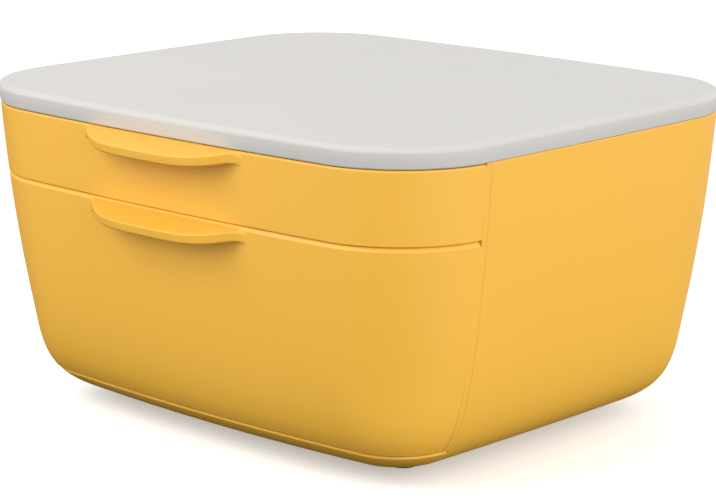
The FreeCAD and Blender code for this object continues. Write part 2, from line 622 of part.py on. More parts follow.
for rn in ("upper", "lower"):
    b = doc.addObject("PartDesign::Body", rn + "_tray_body")
    top = D + rn + "_tray_top"
    flo = D + rn + "_tray_floor"
    tray_stack(b, rn, "PartDesign::AdditiveLoft", rn + "_tray_solid", "0", "0", D + "tray_edge", False)
    solid_vol = b.Shape.Volume
    # outer solid of the tray, kept for trimming the bosses behind the front
    blank = doc.addObject("Part::Feature", rn + "_tray_blank")
    blank.Shape = b.Shape.copy()
    tray_stack(b, rn, "PartDesign::SubtractiveLoft", rn + "_tray_cavity", D + "tray_floor", D + "tray_wall",
               D + "tray_edge - " + D + "tray_wall", True)
    cav_vol = b.Shape.Volume
    # sliding rims along both sides
    rimsk = body_sketch(b, rn + "_rim_plan", "XY_Plane", top)
    yb = "144" if rn == "upper" else "138"
    straight(rimsk, D + "tray_half - 1", D + "rim_out", "0 - 140", yb, "right")
    straight(rimsk, "0 - " + D + "rim_out", "1 - " + D + "tray_half", "0 - 140", yb, "left")
    rp = b.newObject("PartDesign::Pad", rn + "_tray_rims")
    rp.Profile = rimsk
    rp.Length = val["rim_thick"]
    rp.setExpression("Length", D + "rim_thick")
    rp.Reversed = True
    doc.recompute()
    rim_vol = b.Shape.Volume
    # notches that hold the stop clips
    nsk = body_sketch(b, rn + "_stop_notch", "XY_Plane", top)
    ns0, ns1 = ("129", "137") if rn == "upper" else ("121", "129")
    straight(nsk, D + "tray_half + 1.5", D + "rim_out + 1", ns0, ns1, "right")
    straight(nsk, "0 - " + D + "rim_out - 1", "0 - " + D + "tray_half - 1.5", ns0, ns1, "left")
    npk = b.newObject("PartDesign::Pocket", rn + "_stop_pocket")
    npk.Profile = nsk
    npk.Length = 4.0
    doc.recompute()
    notch_vol = b.Shape.Volume
    # screw holes through the front wall
    hsk = body_sketch(b, rn + "_front_holes", "XZ_Plane", None)
    for n, (x, z) in enumerate(FRONT_SCREWS[rn]):
        g = hsk.addGeometry(Part.Circle(Vector(x, z, 0), Vector(0, 0, 1), val["hole"]), False)
        kk = hsk.addConstraint(Sketcher.Constraint("Radius", g, val["hole"]))
        hsk.renameConstraint(kk, "hole_%d" % n)
        hsk.setExpression("Constraints.hole_%d" % n, D + "hole")
        hsk.addConstraint(Sketcher.Constraint("DistanceX", -1, 1, g, 3, x))
        hsk.addConstraint(Sketcher.Constraint("DistanceY", -1, 1, g, 3, z))
    hp = b.newObject("PartDesign::Pocket", rn + "_front_hole_cut")
    hp.Profile = hsk
    hp.Type = 1
    hp.Reversed = True
    doc.recompute()
    hole_vol = b.Shape.Volume
    if abs(hole_vol - notch_vol) < 1:
        hp.Reversed = False
        doc.recompute()
        hole_vol = b.Shape.Volume
    print(rn, "tray", [round(v) for v in (solid_vol, cav_vol, rim_vol, notch_vol, hole_vol)],
          b.Shape.isValid(), b.Shape.BoundBox)
    piece(b, rn + "_drawer_tray")

    # stop clips
    for sname, s in SIDES:
        lo, hi = sx(s, D + "tray_half + 1.6", D + "panel_in - " + D + "runner_wall - 0.6")
        blk = box("stop_block_%s_%s" % (rn, sname), lo, hi, ns0 + " + 0.1", ns1 + " - 0.1",
                  top + " - " + D + "rim_thick", top)
        lo, hi = sx(s, D + "tray_half + 0.1", D + "runner_in - 0.6")
        hook = box("stop_hook_%s_%s" % (rn, sname), lo, hi, ns0 + " + 1", ns1 + " - 1",
                   top + " - " + D + "rim_thick - 2.5", top + " - " + D + "rim_thick")
        piece(fuse("stop_%s_%s" % (rn, sname), [blk, hook]), "%s_drawer_stop_%s" % (rn, sname))

    # drawer front
    if rn == "upper":
        z_lo, z_hi = D + "seam + " + D + "seam_gap / 2", D + "upper_front_top"
        tray_in = D + "upper_tray_depth - " + D + "tray_wall"
    else:
        z_lo, z_hi = D + "sill + " + D + "sill_gap", D + "seam - " + D + "seam_gap / 2"
        tray_in = D + "lower_tray_depth - " + D + "tray_wall"
    y_end = D + "joint_y - " + D + "strip_width - " + D + "front_end_gap"
    slab = common(rn + "_front_slice", [outer, box(rn + "_front_box", "0 - " + BIG, BIG, "0 - " + BIG, y_end, z_lo, z_hi)])
    hollow = common(rn + "_front_hollow", [inner, box(rn + "_front_hollow_box", "0 - " + BIG, BIG, "0 - " + BIG,
                                                    y_end + " + 1", z_lo + " - 1", z_hi + " - 3")])
    skk = doc.addObject("Sketcher::SketchObject", rn + "_mouth_outline")
    skk.Placement = Placement(Vector(0, 0, num(z_hi) - 5), Rotation())
    skk.setExpression("Placement.Base.z", z_hi + " - 5")
    bowed_outline(skk, D + "tray_half - " + D + "tray_wall", tray_in, D + "tray_corner - " + D + "tray_wall",
                  TRAY_FR + " - " + D + "tray_wall")
    mouth_ = doc.addObject("Part::Extrusion", rn + "_mouth")
    mouth_.Base = skk
    mouth_.DirMode = "Custom"
    mouth_.Dir = Vector(0, 0, 1)
    mouth_.LengthFwd = 10.0
    mouth_.Solid = True
    fb = []
    fp = []
    for n, (x, z) in enumerate(FRONT_SCREWS[rn]):
        X = str(x) if x > 0 else "0 - %d" % -x
        # start of the boss: inside the front wall, at this height and offset
        zz = float(z)
        ins = None
        for (za, ia, _, _, _), (zb, ib, _, _, _) in zip(LEVELS, LEVELS[1:]):
            if za <= zz <= zb:
                ins = ia + (ib - ia) * (zz - za) / (zb - za)
        yy = -(val["half_depth"] - val["depth_taper"] * ins) + val["bow_front"] * (x / (val["half_width"] - ins)) ** 2 + 1.4
        fb.append(rod("front_boss_%s_%d" % (rn, n), D + "boss", "22", X, "0 - %.3f" % -yy, str(z), "+Y"))
        fp.append(rod("front_pilot_%s_%d" % (rn, n), D + "pilot", "22", X, "0 - %.3f" % (-yy - 0.6), str(z), "+Y"))
        TIPS[(rn, n)] = yy + 0.75
    bos = cut("front_bosses_%s" % rn, fuse("front_boss_set_" + rn, fb), blank)
    # handle lip: a plan outline and a side profile, each run out straight, and
    # the part that both of them hold
    L, R_ = val["lip_half"], val["lip_reach"]
    zr = D + rn + "_lip"
    y_face = -(val["half_depth"] - (0.0 if rn == "upper" else val["depth_taper"] * 3.2))
    plan = doc.addObject("Sketcher::SketchObject", rn + "_lip_plan")
    plan.Placement = Placement(Vector(0, y_face, num(zr) - 20), Rotation())
    plan.setExpression("Placement.Base.z", zr + " - 20")
    pts = []
    N = 24
    for i in range(N + 1):
        u = -1 + 2.0 * i / N
        u = math.copysign(1 - (1 - abs(u)) ** 1.6, u)
        dep = R_ * (1 - abs(u) ** 4.35) ** 1.67
        pts.append(Vector(L * u, val["bow_front"] * (L * u / val["half_width"]) ** 2 - dep, 0))
    crv = Part.BSplineCurve()
    crv.interpolate(pts)
    e0 = pts[0]
    e1 = pts[-1]
    plan.addGeometry(crv, False)
    plan.addGeometry(Part.LineSegment(e1, Vector(e1.x, 1.5, 0)), False)
    plan.addGeometry(Part.LineSegment(Vector(e1.x, 1.5, 0), Vector(e0.x, 1.5, 0)), False)
    plan.addGeometry(Part.LineSegment(Vector(e0.x, 1.5, 0), e0), False)
    pe = doc.addObject("Part::Extrusion", rn + "_lip_plan_run")
    pe.Base = plan
    pe.DirMode = "Custom"
    pe.Dir = Vector(0, 0, 1)
    pe.LengthFwd = 30.0
    pe.Solid = True
    prof = doc.addObject("Sketcher::SketchObject", rn + "_lip_profile")
    prof.Placement = Placement(Vector(-90, y_face, num(zr)), Rotation(Vector(0, 1, 0), Vector(0, 0, 1), Vector(1, 0, 0), "XYZ"))
    prof.setExpression("Placement.Base.z", zr)
    sl_ = val["lip_slope"]
    th = val["lip_thick"]
    pp = [(1.5, 0.0), (0.0, 0.0), (-R_ - 0.5, -sl_ * (R_ + 0.5)), (-R_ + 0.3, -sl_ * R_ - th), (-R_ + 1.6, -sl_ * R_ - th - 0.3),
          (0.0, -th - 2.4), (1.5, -th - 2.4)]
    for i, (p, q) in enumerate(zip(pp, pp[1:] + pp[:1])):
        prof.addGeometry(Part.LineSegment(Vector(p[0], p[1], 0), Vector(q[0], q[1], 0)), False)
    for i in range(len(pp)):
        prof.addConstraint(Sketcher.Constraint("Coincident", i, 2, (i + 1) % len(pp), 1))
    pr = doc.addObject("Part::Extrusion", rn + "_lip_profile_run")
    pr.Base = prof
    pr.DirMode = "Custom"
    pr.Dir = Vector(1, 0, 0)
    pr.LengthFwd = 180.0
    pr.Solid = True
    lip = common(rn + "_lip_body", [pe, pr])
    skin = cut(rn + "_front_skin", cut(rn + "_front_shell", slab, hollow), mouth_)
    whole = fuse(rn + "_front_whole", [skin, bos, lip])
    piece(cut(rn + "_front_cut", whole, fuse(rn + "_front_pilots", fp)), rn + "_drawer_front")

# ---- lid ----------------------------------------------------------------
lid = doc.addObject("PartDesign::Body", "lid_body")
hx, hy, fr, sr, cr = level_terms(last)


def lid_section(name, z, off):
    k = body_sketch(lid, name, "XY_Plane", z)
    bowed_outline(k, "%s - (%s)" % (hx, off), "%s - (%s)" % (hy, off), "%s - (%s)" % (cr, off),
                  "%s - (%s)" % (fr, off), "%s - (%s)" % (sr, off))
    return k


steps = [(D + "lid_under", "0")]
for deg in (0, 15, 30, 45, 60, 75, 90):
    up = 1 - math.sin(math.radians(deg))
    inn = 1 - math.cos(math.radians(deg))
    steps.append(("%slid_top - %.5f * %slid_edge" % (D, up, D),
                  "%.5f * %slid_edge - %slid_flare" % (inn, D, D)))
sks = [lid_section("lid_level_%d" % n, z, o) for n, (z, o) in enumerate(steps)]
ll = lid.newObject("PartDesign::AdditiveLoft", "lid_solid")
ll.Profile = sks[0]
ll.Sections = sks[1:]
ll.Ruled = True
doc.recompute()
st = lid_section("lid_step_outline", D + "lid_under", D + "lid_step")
sp = lid.newObject("PartDesign::Pad", "lid_step_pad")
sp.Profile = st
sp.Length = val["lid_under"] - val["case_top"]
sp.setExpression("Length", D + "lid_under - " + D + "case_top")
sp.Reversed = True
doc.recompute()
v0 = lid.Shape.Volume
ck = lid_section("lid_cavity_outline", D + "case_top", D + "lid_wall")
cp = lid.newObject("PartDesign::Pocket", "lid_cavity")
cp.Profile = ck
cp.Length = num(D + "lid_top - " + D + "lid_wall - " + D + "case_top")
cp.setExpression("Length", D + "lid_top - " + D + "lid_wall - " + D + "case_top")
cp.Reversed = True
doc.recompute()
v1 = lid.Shape.Volume
if v1 > v0 - 1000:
    cp.Reversed = False
    doc.recompute()
    v1 = lid.Shape.Volume
bk = body_sketch(lid, "lid_bosses_outline", "XY_Plane", D + "case_top")
C = Sketcher.Constraint
n = 0
for s in (-1, 1):
    for y in LID_SCREWS:
        for rad, nm in ((val["boss"], "boss"), (val["pilot"], "pilot")):
            g = bk.addGeometry(Part.Circle(Vector(161 * s, y, 0), Vector(0, 0, 1), rad), False)
            k = bk.addConstraint(C("Radius", g, rad))
            bk.renameConstraint(k, "%s_%d" % (nm, n))
            bk.setExpression("Constraints.%s_%d" % (nm, n), D + nm)
            bk.addConstraint(C("DistanceX", -1, 1, g, 3, 161.0 * s))
            bk.addConstraint(C("DistanceY", -1, 1, g, 3, y))
        n += 1
bp = lid.newObject("PartDesign::Pad", "lid_bosses")
bp.Profile = bk
bp.Length = num(D + "lid_top - " + D + "lid_wall - " + D + "case_top + 0.4")
bp.setExpression("Length", D + "lid_top - " + D + "lid_wall - " + D + "case_top + 0.4")
doc.recompute()
print("lid", round(v0), round(v1), round(lid.Shape.Volume), lid.Shape.isValid(), lid.Shape.BoundBox)
piece(lid, "lid")

# ---- feet ---------------------------------------------------------------
for nm, fx, fy in (("foot_front_left", -1, -1), ("foot_front_right", 1, -1),
                   ("foot_rear_left", -1, 1), ("foot_rear_right", 1, 1)):
    X, Y = px(fx, D + "foot_x"), px(fy, D + "foot_y")
    pad_ = rod(nm + "_pad", D + "foot_radius", D + "foot_gap", X, Y, "0 - " + D + "foot_gap", "+Z")
    ch = doc.addObject("Part::Chamfer", nm + "_edge")
    ch.Base = pad_
    doc.recompute()
    low = [i + 1 for i, e in enumerate(pad_.Shape.Edges)
           if abs(e.BoundBox.ZMax + val["foot_gap"]) < 1e-6 and e.Length > 1]
    ch.Edges = [(low[0], 0.8, 0.8)]
    peg_ = rod(nm + "_peg", D + "foot_peg", "3.6", X, Y, "0 - 0.5", "+Z")
    piece(fuse(nm + "_body", [ch, peg_]), nm)


# ---- fasteners ----------------------------------------------------------
def screw(tag, x, y, z, way, length, head_back):
    """Pan head screw: the head's underside is at the point, the shank runs
    along way and the head the other way."""
    dirs = {"+X": (1, 0, 0), "-X": (-1, 0, 0), "+Y": (0, 1, 0), "-Y": (0, -1, 0), "+Z": (0, 0, 1), "-Z": (0, 0, -1)}
    d = dirs[way]
    hh = val["screw_head"]

    def at(k):
        out = []
        for base, c in zip((x, y, z), d):
            out.append(base if c == 0 else "%s + (%g)" % (base, c * k))
        return out
    head = rod(tag + "_head", D + "screw_head_radius", D + "screw_head", *at(-hh), way)
    shank = rod(tag + "_shank", D + "screw_radius", "%g" % length, *at(0), way)
    return fuse(tag, [head, shank])


def screws(label, items):
    grp = doc.addObject("Part::Compound", label + "_set")
    grp.Links = items
    piece(grp, label)


def w(v):
    return "%g" % v if v >= 0 else "0 - %g" % -v


screws("guide_panel_screws",
       [screw("panel_screw_%s_%d" % (sname, n), px(s, D + "panel_in"), w(y), w(z), "+X" if s > 0 else "-X", 8.0, 0)
        for sname, s in SIDES for n, (y, z) in enumerate(PANEL_SCREWS)])
screws("divider_screws",
       [screw("divider_screw_%s_%d" % (sname, n), px(s, D + "panel_in - 0.2 - " + D + "divider_thick"), w(y),
              D + "divider_z + 7", "+X" if s > 0 else "-X", 4.0, 0)
        for sname, s in SIDES for n, y in enumerate(DIVIDER_SCREWS)])
screws("lid_screws",
       [screw("lid_screw_%s_%d" % (sname, n), px(s, "161"), w(y), D + "case_top - 2.1", "+Z", 8.0, 0)
        for sname, s in SIDES for n, y in enumerate(LID_SCREWS)])
for rn in ("upper", "lower"):
    items = []
    for n, (x, z) in enumerate(FRONT_SCREWS[rn]):
        if rn == "upper":
            dep = val["upper_tray_depth"]
        else:
            f = (z - val["lower_tray_floor"]) / (val["lower_tray_top"] - val["lower_tray_floor"])
            dep = val["lower_base_depth"] + (val["lower_tray_depth"] - val["lower_base_depth"]) * f
        rf_ = num(TRAY_FR)
        yin = -(dep - val["tray_wall"]) + (rf_ - math.sqrt(rf_ * rf_ - x * x))
        head = yin + (0.25 if rn == "upper" else 0.75)
        items.append(screw("front_screw_%s_%d" % (rn, n), w(x), w(head), w(z), "-Y", round(head - TIPS[(rn, n)], 2), 0))
    screws(rn + "_drawer_screws", items)

# ---- write the pieces ---------------------------------------------------
doc.recompute()
bad = []
for ob in doc.Objects:
    if "Invalid" in ob.State or "Error" in ob.State:
        bad.append((ob.Name, ob.State))
if bad:
    print("FAILED OBJECTS", bad)
    raise SystemExit("objects failed to recompute")
for ob in finals:
    shp = ob.Shape
    if shp.isNull() or not shp.isValid():
        raise SystemExit("bad shape: " + ob.Label)
    print("%-26s solids %2d  volume %9.0f  %s" % (ob.Label, len(shp.Solids), shp.Volume,
          " ".join("%.1f" % v for v in (shp.BoundBox.XMin, shp.BoundBox.XMax, shp.BoundBox.YMin,
                                        shp.BoundBox.YMax, shp.BoundBox.ZMin, shp.BoundBox.ZMax))))
    shp.exportStep("parts/%s.step" % ob.Label)
print(len(finals), "pieces")
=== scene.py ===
import bpy
import bmesh
import json
import math
import numpy as np
from mathutils import Matrix, Vector


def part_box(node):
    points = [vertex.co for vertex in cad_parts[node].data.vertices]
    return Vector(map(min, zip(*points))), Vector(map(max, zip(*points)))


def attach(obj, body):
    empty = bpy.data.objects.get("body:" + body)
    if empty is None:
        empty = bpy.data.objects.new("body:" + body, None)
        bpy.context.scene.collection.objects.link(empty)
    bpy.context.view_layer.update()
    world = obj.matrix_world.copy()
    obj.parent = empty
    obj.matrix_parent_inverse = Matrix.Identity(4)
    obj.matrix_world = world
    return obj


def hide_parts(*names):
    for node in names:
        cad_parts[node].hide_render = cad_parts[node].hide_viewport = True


# Looks of a two-drawer desktop unit in moulded plastic. The visible shells are
# meshes built from the same plan outlines and wall profile as the construction
# model, with a smooth profile and rounded edges; the rest are the construction
# nodes with their own finish. Lengths inside the mesh code are millimetres in
# the body frame (z = 0 under the tub, y = 0 at the middle of its depth).

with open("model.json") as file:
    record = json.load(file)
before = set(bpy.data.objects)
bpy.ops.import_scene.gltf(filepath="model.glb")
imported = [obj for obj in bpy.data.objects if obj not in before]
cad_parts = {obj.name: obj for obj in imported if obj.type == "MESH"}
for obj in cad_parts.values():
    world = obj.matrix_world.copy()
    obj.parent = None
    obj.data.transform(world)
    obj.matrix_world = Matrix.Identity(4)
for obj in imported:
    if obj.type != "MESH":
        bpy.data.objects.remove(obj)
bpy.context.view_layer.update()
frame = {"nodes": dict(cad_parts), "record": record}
NODES = frame["nodes"]

SHIFT_Y, SHIFT_Z = 8.4, 3.0

# ------------------------------------------------------------------ profile
LEVELS = np.array([
    (0.0, 66.0, 22.6), (2.2, 59.02, 24.16), (5.0, 50.4, 26.16), (8.5, 42.39, 28.65),
    (13.0, 35.16, 31.86), (19.0, 28.84, 36.06), (27.0, 23.56, 41.43), (38.0, 18.97, 48.12),
    (54.0, 14.67, 55.63), (76.0, 10.64, 59.79), (104.0, 6.86, 61.52), (140.0, 3.11, 62.98),
    (183.4, 0.0, 63.6)])
HALF_W, HALF_D, BOW_F, BOW_S, TAPER = 184.0, 159.05, 7.74, 1.86, 0.965
WALL = 2.8


def spline(t, y, q):
    """Natural cubic spline through (t, y), read at q."""
    n = len(t)
    h = np.diff(t)
    A = np.zeros((n, n))
    R = np.zeros(n)
    A[0, 0] = A[-1, -1] = 1.0
    for i in range(1, n - 1):
        A[i, i - 1], A[i, i], A[i, i + 1] = h[i - 1], 2 * (h[i - 1] + h[i]), h[i]
        R[i] = 6 * ((y[i + 1] - y[i]) / h[i] - (y[i] - y[i - 1]) / h[i - 1])
    m = np.linalg.solve(A, R)
    k = np.clip(np.searchsorted(t, q, side="right") - 1, 0, n - 2)
    a, b, hh = t[k + 1] - q, q - t[k], h[k]
    return (m[k] * a ** 3 + m[k + 1] * b ** 3) / (6 * hh) + (y[k] / hh - m[k] * hh / 6) * a \
        + (y[k + 1] / hh - m[k + 1] * hh / 6) * b


_t = np.concatenate([[0.0], np.cumsum(np.hypot(np.diff(LEVELS[:, 0]), np.diff(LEVELS[:, 1])))])
_q = np.linspace(0, _t[-1], 3000)
_z, _i, _r = (spline(_t, LEVELS[:, c], _q) for c in (0, 1, 2))
_len = np.concatenate([[0.0], np.cumsum(np.hypot(np.diff(_z), np.diff(_i)))])
_dz, _di = np.gradient(_z, _q), np.gradient(_i, _q)
_nx = _dz / np.hypot(_dz, _di)
_nz = -_di / np.hypot(_dz, _di)


def inset(z):
    return float(np.interp(z, _z, _i))


def slope(z):
    """(outward, downward) parts of the wall's outward normal at height z."""
    return float(np.interp(z, _z, _nx)), float(np.interp(z, _z, _nz))


def run_at(z):
    return float(np.interp(z, _z, _len))


def z_of_run(s):
    return float(np.interp(s, _len, _z))


class Plan:
    """Right half of a bowed, rounded outline, measured along its length from
    the middle of the front to the middle of the back."""

    def __init__(self, A, B, r, Rf, Rs):
        self.A, self.B, self.r, self.Rf, self.Rs = A, B, r, Rf, Rs
        x, y = A - r, -(B - r)
        for _ in range(40):
            q = math.hypot(x - (A - Rs), y)
            f1, j1 = q - (Rs - r), ((x - (A - Rs)) / q, y / q)
            q = math.hypot(x, y - (Rf - B))
            f2, j2 = q - (Rf - r), (x / q, (y - (Rf - B)) / q)
            det = j1[0] * j2[1] - j1[1] * j2[0]
            dx = (f1 * j2[1] - f2 * j1[1]) / det
            dy = (j1[0] * f2 - j2[0] * f1) / det
            x, y = x - dx, y - dy
            if abs(dx) + abs(dy) < 1e-11:
                break
        self.cx, self.cy, self.fy = x, y, Rf - B
        self.p1 = math.atan2(x, self.fy - y)
        self.p2 = math.pi / 2 + math.atan2(y, x - (A - Rs))
        self.L1 = Rf * self.p1
        self.L2 = self.L1 + r * (self.p2 - self.p1)
        self.Lq = self.L2 + Rs * (math.pi / 2 - self.p2)
        self.L = 2 * self.Lq

    def at(self, s):
        """Points and outward normals at lengths s."""
        s = np.asarray(s, float)
        back = s > self.Lq
        t = np.where(back, self.L - s, s)
        p = np.where(t < self.L1, t / self.Rf,
                     np.where(t < self.L2, self.p1 + (t - self.L1) / self.r, self.p2 + (t - self.L2) / self.Rs))
        cx = np.where(t < self.L1, 0.0, np.where(t < self.L2, self.cx, self.A - self.Rs))
        cy = np.where(t < self.L1, self.fy, np.where(t < self.L2, self.cy, 0.0))
        R = np.where(t < self.L1, self.Rf, np.where(t < self.L2, self.r, self.Rs))
        n = np.stack([np.sin(p), -np.cos(p)], -1)
        P = np.stack([cx, cy], -1) + R[:, None] * n
        k = np.where(back, -1.0, 1.0)
        P[:, 1] *= k
        n[:, 1] *= k
        return P, n

    def s_of_y(self, y):
        if y >= self.cy - self.r * math.cos(self.p2):
            return self.L2 + self.Rs * (math.acos(-y / self.Rs) - self.p2)
        return self.L1 + self.r * (math.acos((self.cy - y) / self.r) - self.p1)

    def s_of_x(self, x):
        return self.Rf * math.asin(x / self.Rf)


_plans = {}


def outline(zb, d=0.0):
    """Outline of the wall's outside at height zb, moved in by d."""
    key = (round(zb, 6), round(d, 6))
    if key not in _plans:
        i, r = inset(zb), float(np.interp(zb, _z, _r))
        A, B = HALF_W - i, HALF_D - TAPER * i
        Rf = (A * A + BOW_F ** 2) / (2 * BOW_F)
        Rs = (B * B + BOW_S ** 2) / (2 * BOW_S)
        _plans[key] = Plan(A - d, B - d, r - d, Rf - d, Rs - d)
    return _plans[key]


# ------------------------------------------------------------ mesh building
class Build:
    def __init__(self):
        self.v, self.f, self.n = [], [], 0

    def add(self, pts):
        pts = np.asarray(pts, float)
        self.v.append(pts)
        self.n += len(pts)
        return list(range(self.n - len(pts), self.n))

    def strip(self, a, b, closed=False):
        m = len(a)
        for k in range(m if closed else m - 1):
            j = (k + 1) % m
            self.f.append((a[k], a[j], b[j], b[k]))

    def face(self, idx):
        self.f.append(tuple(idx))

    def lathe(self, x, y, pairs, seg=28):
        """Closed turned piece about a vertical axis: pairs of (radius, z), the
        first and last on the axis or joined up as a ring."""
        a = np.linspace(0, 2 * math.pi, seg, endpoint=False)
        rings = []
        for r, z in pairs:
            if r < 1e-9:
                rings.append(None)
                c = self.add([(x, y, z)])[0]
                rings[-1] = [c]
            else:
                rings.append(self.add(np.stack([x + r * np.cos(a), y + r * np.sin(a), np.full(seg, z)], -1)))
        loop = list(zip(rings, rings[1:]))
        if len(rings[0]) > 1:
            loop.append((rings[-1], rings[0]))
        for p, q in loop:
            if len(p) == 1:
                for k in range(seg):
                    self.f.append((p[0], q[k], q[(k + 1) % seg]))
            elif len(q) == 1:
                for k in range(seg):
                    self.f.append((q[0], p[(k + 1) % seg], p[k]))
            else:
                self.strip(p, q, True)

    def block(self, x0, x1, y0, y1, z0, z1, c=0.35):
        """Box with small chamfers all round."""
        bm = bmesh.new()
        bmesh.ops.create_cube(bm, size=1.0)
        for v in bm.verts:
            v.co = Vector(((x0 + x1) / 2 + v.co.x * (x1 - x0), (y0 + y1) / 2 + v.co.y * (y1 - y0),
                           (z0 + z1) / 2 + v.co.z * (z1 - z0)))
        bmesh.ops.bevel(bm, geom=list(bm.edges), offset=min(c, 0.4 * min(x1 - x0, y1 - y0, z1 - z0)),
                        segments=2, profile=0.5, affect="EDGES")
        self.take(bm)
        bm.free()

    def prism(self, pts, lo, hi, axis, c=0.3):
        """Polygon run out straight along an axis, with small rounded edges."""
        put = {"z": lambda a, b_, k: (a, b_, k), "y": lambda a, b_, k: (a, k, b_), "x": lambda a, b_, k: (k, a, b_)}[axis]
        bm = bmesh.new()
        low = [bm.verts.new(put(a, b_, lo)) for a, b_ in pts]
        top = [bm.verts.new(put(a, b_, hi)) for a, b_ in pts]
        bm.faces.new(low)
        bm.faces.new(list(reversed(top)))
        for k in range(len(pts)):
            j = (k + 1) % len(pts)
            bm.faces.new((low[j], low[k], top[k], top[j]))
        bmesh.ops.recalc_face_normals(bm, faces=bm.faces)
        bmesh.ops.bevel(bm, geom=list(bm.edges), offset=c, segments=2, profile=0.5, affect="EDGES",
                        clamp_overlap=True)
        self.take(bm)
        bm.free()

    def turned(self, at, way, pairs, seg=28):
        """Closed turned piece: pairs of (radius, distance along way from the
        point at); the first and last pair lie on the axis."""
        way = Vector(way)
        u = way.orthogonal().normalized()
        w = way.cross(u)
        a = np.linspace(0, 2 * math.pi, seg, endpoint=False)
        rings = []
        for r, k in pairs:
            base = np.array(at) + np.array(way) * k
            if r < 1e-9:
                rings.append(self.add([base]))
            else:
                rings.append(self.add(base + r * (np.cos(a)[:, None] * np.array(u) + np.sin(a)[:, None] * np.array(w))))
        for p, q in zip(rings, rings[1:]):
            if len(p) == 1:
                for k in range(seg):
                    self.f.append((p[0], q[k], q[(k + 1) % seg]))
            elif len(q) == 1:
                for k in range(seg):
                    self.f.append((q[0], p[(k + 1) % seg], p[k]))
            else:
                self.strip(p, q, True)

    def screw(self, at, way, length, seg=48):
        """Pan head screw with a cross recess: at is the point under the head,
        way the direction of the shank."""
        way = Vector(way)
        u = way.orthogonal().normalized()
        w = way.cross(u)
        U, W_, V_ = np.array(u), np.array(w), np.array(way)
        a = np.linspace(0, 2 * math.pi, seg, endpoint=False)
        ca, sa = np.cos(a), np.sin(a)

        def ring(r, k):
            r = np.broadcast_to(r, a.shape)
            k = np.broadcast_to(k, a.shape)
            return self.add(np.array(at) + (r * ca)[:, None] * U + (r * sa)[:, None] * W_ + k[:, None] * V_)
        rows = []
        # top of the head outwards, with the recess pressed into it
        def height(r):
            x, y = np.abs(r * ca), np.abs(r * sa)
            lo, hi = np.minimum(x, y), np.maximum(x, y)
            arm = 0.36 - 0.07 * hi
            inside = np.clip((arm - lo) / 0.10 + 0.5, 0, 1) * np.clip((1.45 - hi) / 0.16 + 0.5, 0, 1)
            deep = 0.95 - 0.42 * (hi / 1.45)
            return -(1.4 - 0.30 * (r / 2.3) ** 2 - inside * deep)
        tip = self.add([np.array(at) - V_ * 0.45])[0]
        radii = (0.12, 0.24, 0.34, 0.44, 0.56, 0.70, 0.86, 1.02, 1.18, 1.32, 1.42, 1.52, 1.66, 1.9, 2.12)
        for r in radii:
            rows.append(ring(r, height(np.full(seg, r))))
        for r, k in ((2.32, -1.04), (2.50, -0.88), (2.63, -0.66), (2.70, -0.42), (2.70, -0.10), (2.62, 0.0), (1.42, 0.0)):
            rows.append(ring(r, k))
        # threaded shank
        z = 0.35
        while z < length - 1.5:
            rows.append(ring(1.05, z))
            rows.append(ring(1.40, z + 0.28))
            z += 0.56
        rows.append(ring(1.0, max(z, length - 1.4)))
        rows.append(ring(0.5, length - 0.4))
        end = self.add([np.array(at) + V_ * length])[0]
        for k in range(seg):
            self.f.append((tip, rows[0][k], rows[0][(k + 1) % seg]))
            self.f.append((end, rows[-1][(k + 1) % seg], rows[-1][k]))
        for p, q in zip(rows, rows[1:]):
            self.strip(p, q, True)

    def take(self, bm):
        bm.verts.index_update()
        base = self.n
        self.add([tuple(v.co) for v in bm.verts])
        for f in bm.faces:
            self.f.append(tuple(base + v.index for v in f.verts))

    def mesh(self, name, smooth_angle=None):
        v = np.concatenate(self.v) if self.v else np.zeros((0, 3))
        v = (v + np.array([0, SHIFT_Y, SHIFT_Z])) / 1000.0
        me = bpy.data.meshes.new(name)
        bm = bmesh.new()
        vs = [bm.verts.new(p) for p in v]
        for f in self.f:
            f = [i for n_, i in enumerate(f) if i != f[n_ - 1]]
            if len(f) > 2:
                try:
                    bm.faces.new([vs[i] for i in f])
                except ValueError:
                    pass
        bmesh.ops.remove_doubles(bm, verts=bm.verts, dist=2e-7)
        bmesh.ops.dissolve_degenerate(bm, edges=bm.edges, dist=1e-7)
        loose = [q for q in bm.verts if not q.link_faces]
        bmesh.ops.delete(bm, geom=loose, context="VERTS")
        bmesh.ops.recalc_face_normals(bm, faces=bm.faces)
        open_edges = sum(1 for e in bm.edges if len(e.link_faces) != 2)
        if bm.calc_volume(signed=True) < 0:
            bmesh.ops.reverse_faces(bm, faces=bm.faces)
        for f in bm.faces:
            f.smooth = True
        print("mesh", name, len(bm.verts), "open edges", open_edges)
        bm.to_mesh(me)
        bm.free()
        return me


def shown(build, name, body, replaces, mat, sharp=40.0):
    me = build.mesh(name)
    ob = bpy.data.objects.new(name, me)
    bpy.context.scene.collection.objects.link(ob)
    me.materials.append(mat)
    # hard edges stay hard, everything else is shaded smooth with the flat
    # faces leading
    bm = bmesh.new()
    bm.from_mesh(me)
    for e in bm.edges:
        if len(e.link_faces) == 2 and e.calc_face_angle(0.0) > math.radians(sharp):
            e.smooth = False
    bm.to_mesh(me)
    bm.free()
    wn = ob.modifiers.new("weighted", "WEIGHTED_NORMAL")
    wn.mode = "FACE_AREA"
    wn.weight = 50
    wn.keep_sharp = True
    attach(ob, body)
    if replaces:
        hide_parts(*replaces)
    return ob


def mirror_row(right):
    """Right-half row (front middle outwards) to a full row, left end first."""
    left = right[:0:-1].copy()
    left[:, 0] *= -1
    return np.concatenate([left, right])


def smooth01(t):
    t = np.clip(t, 0.0, 1.0)
    return t * t * (3 - 2 * t)


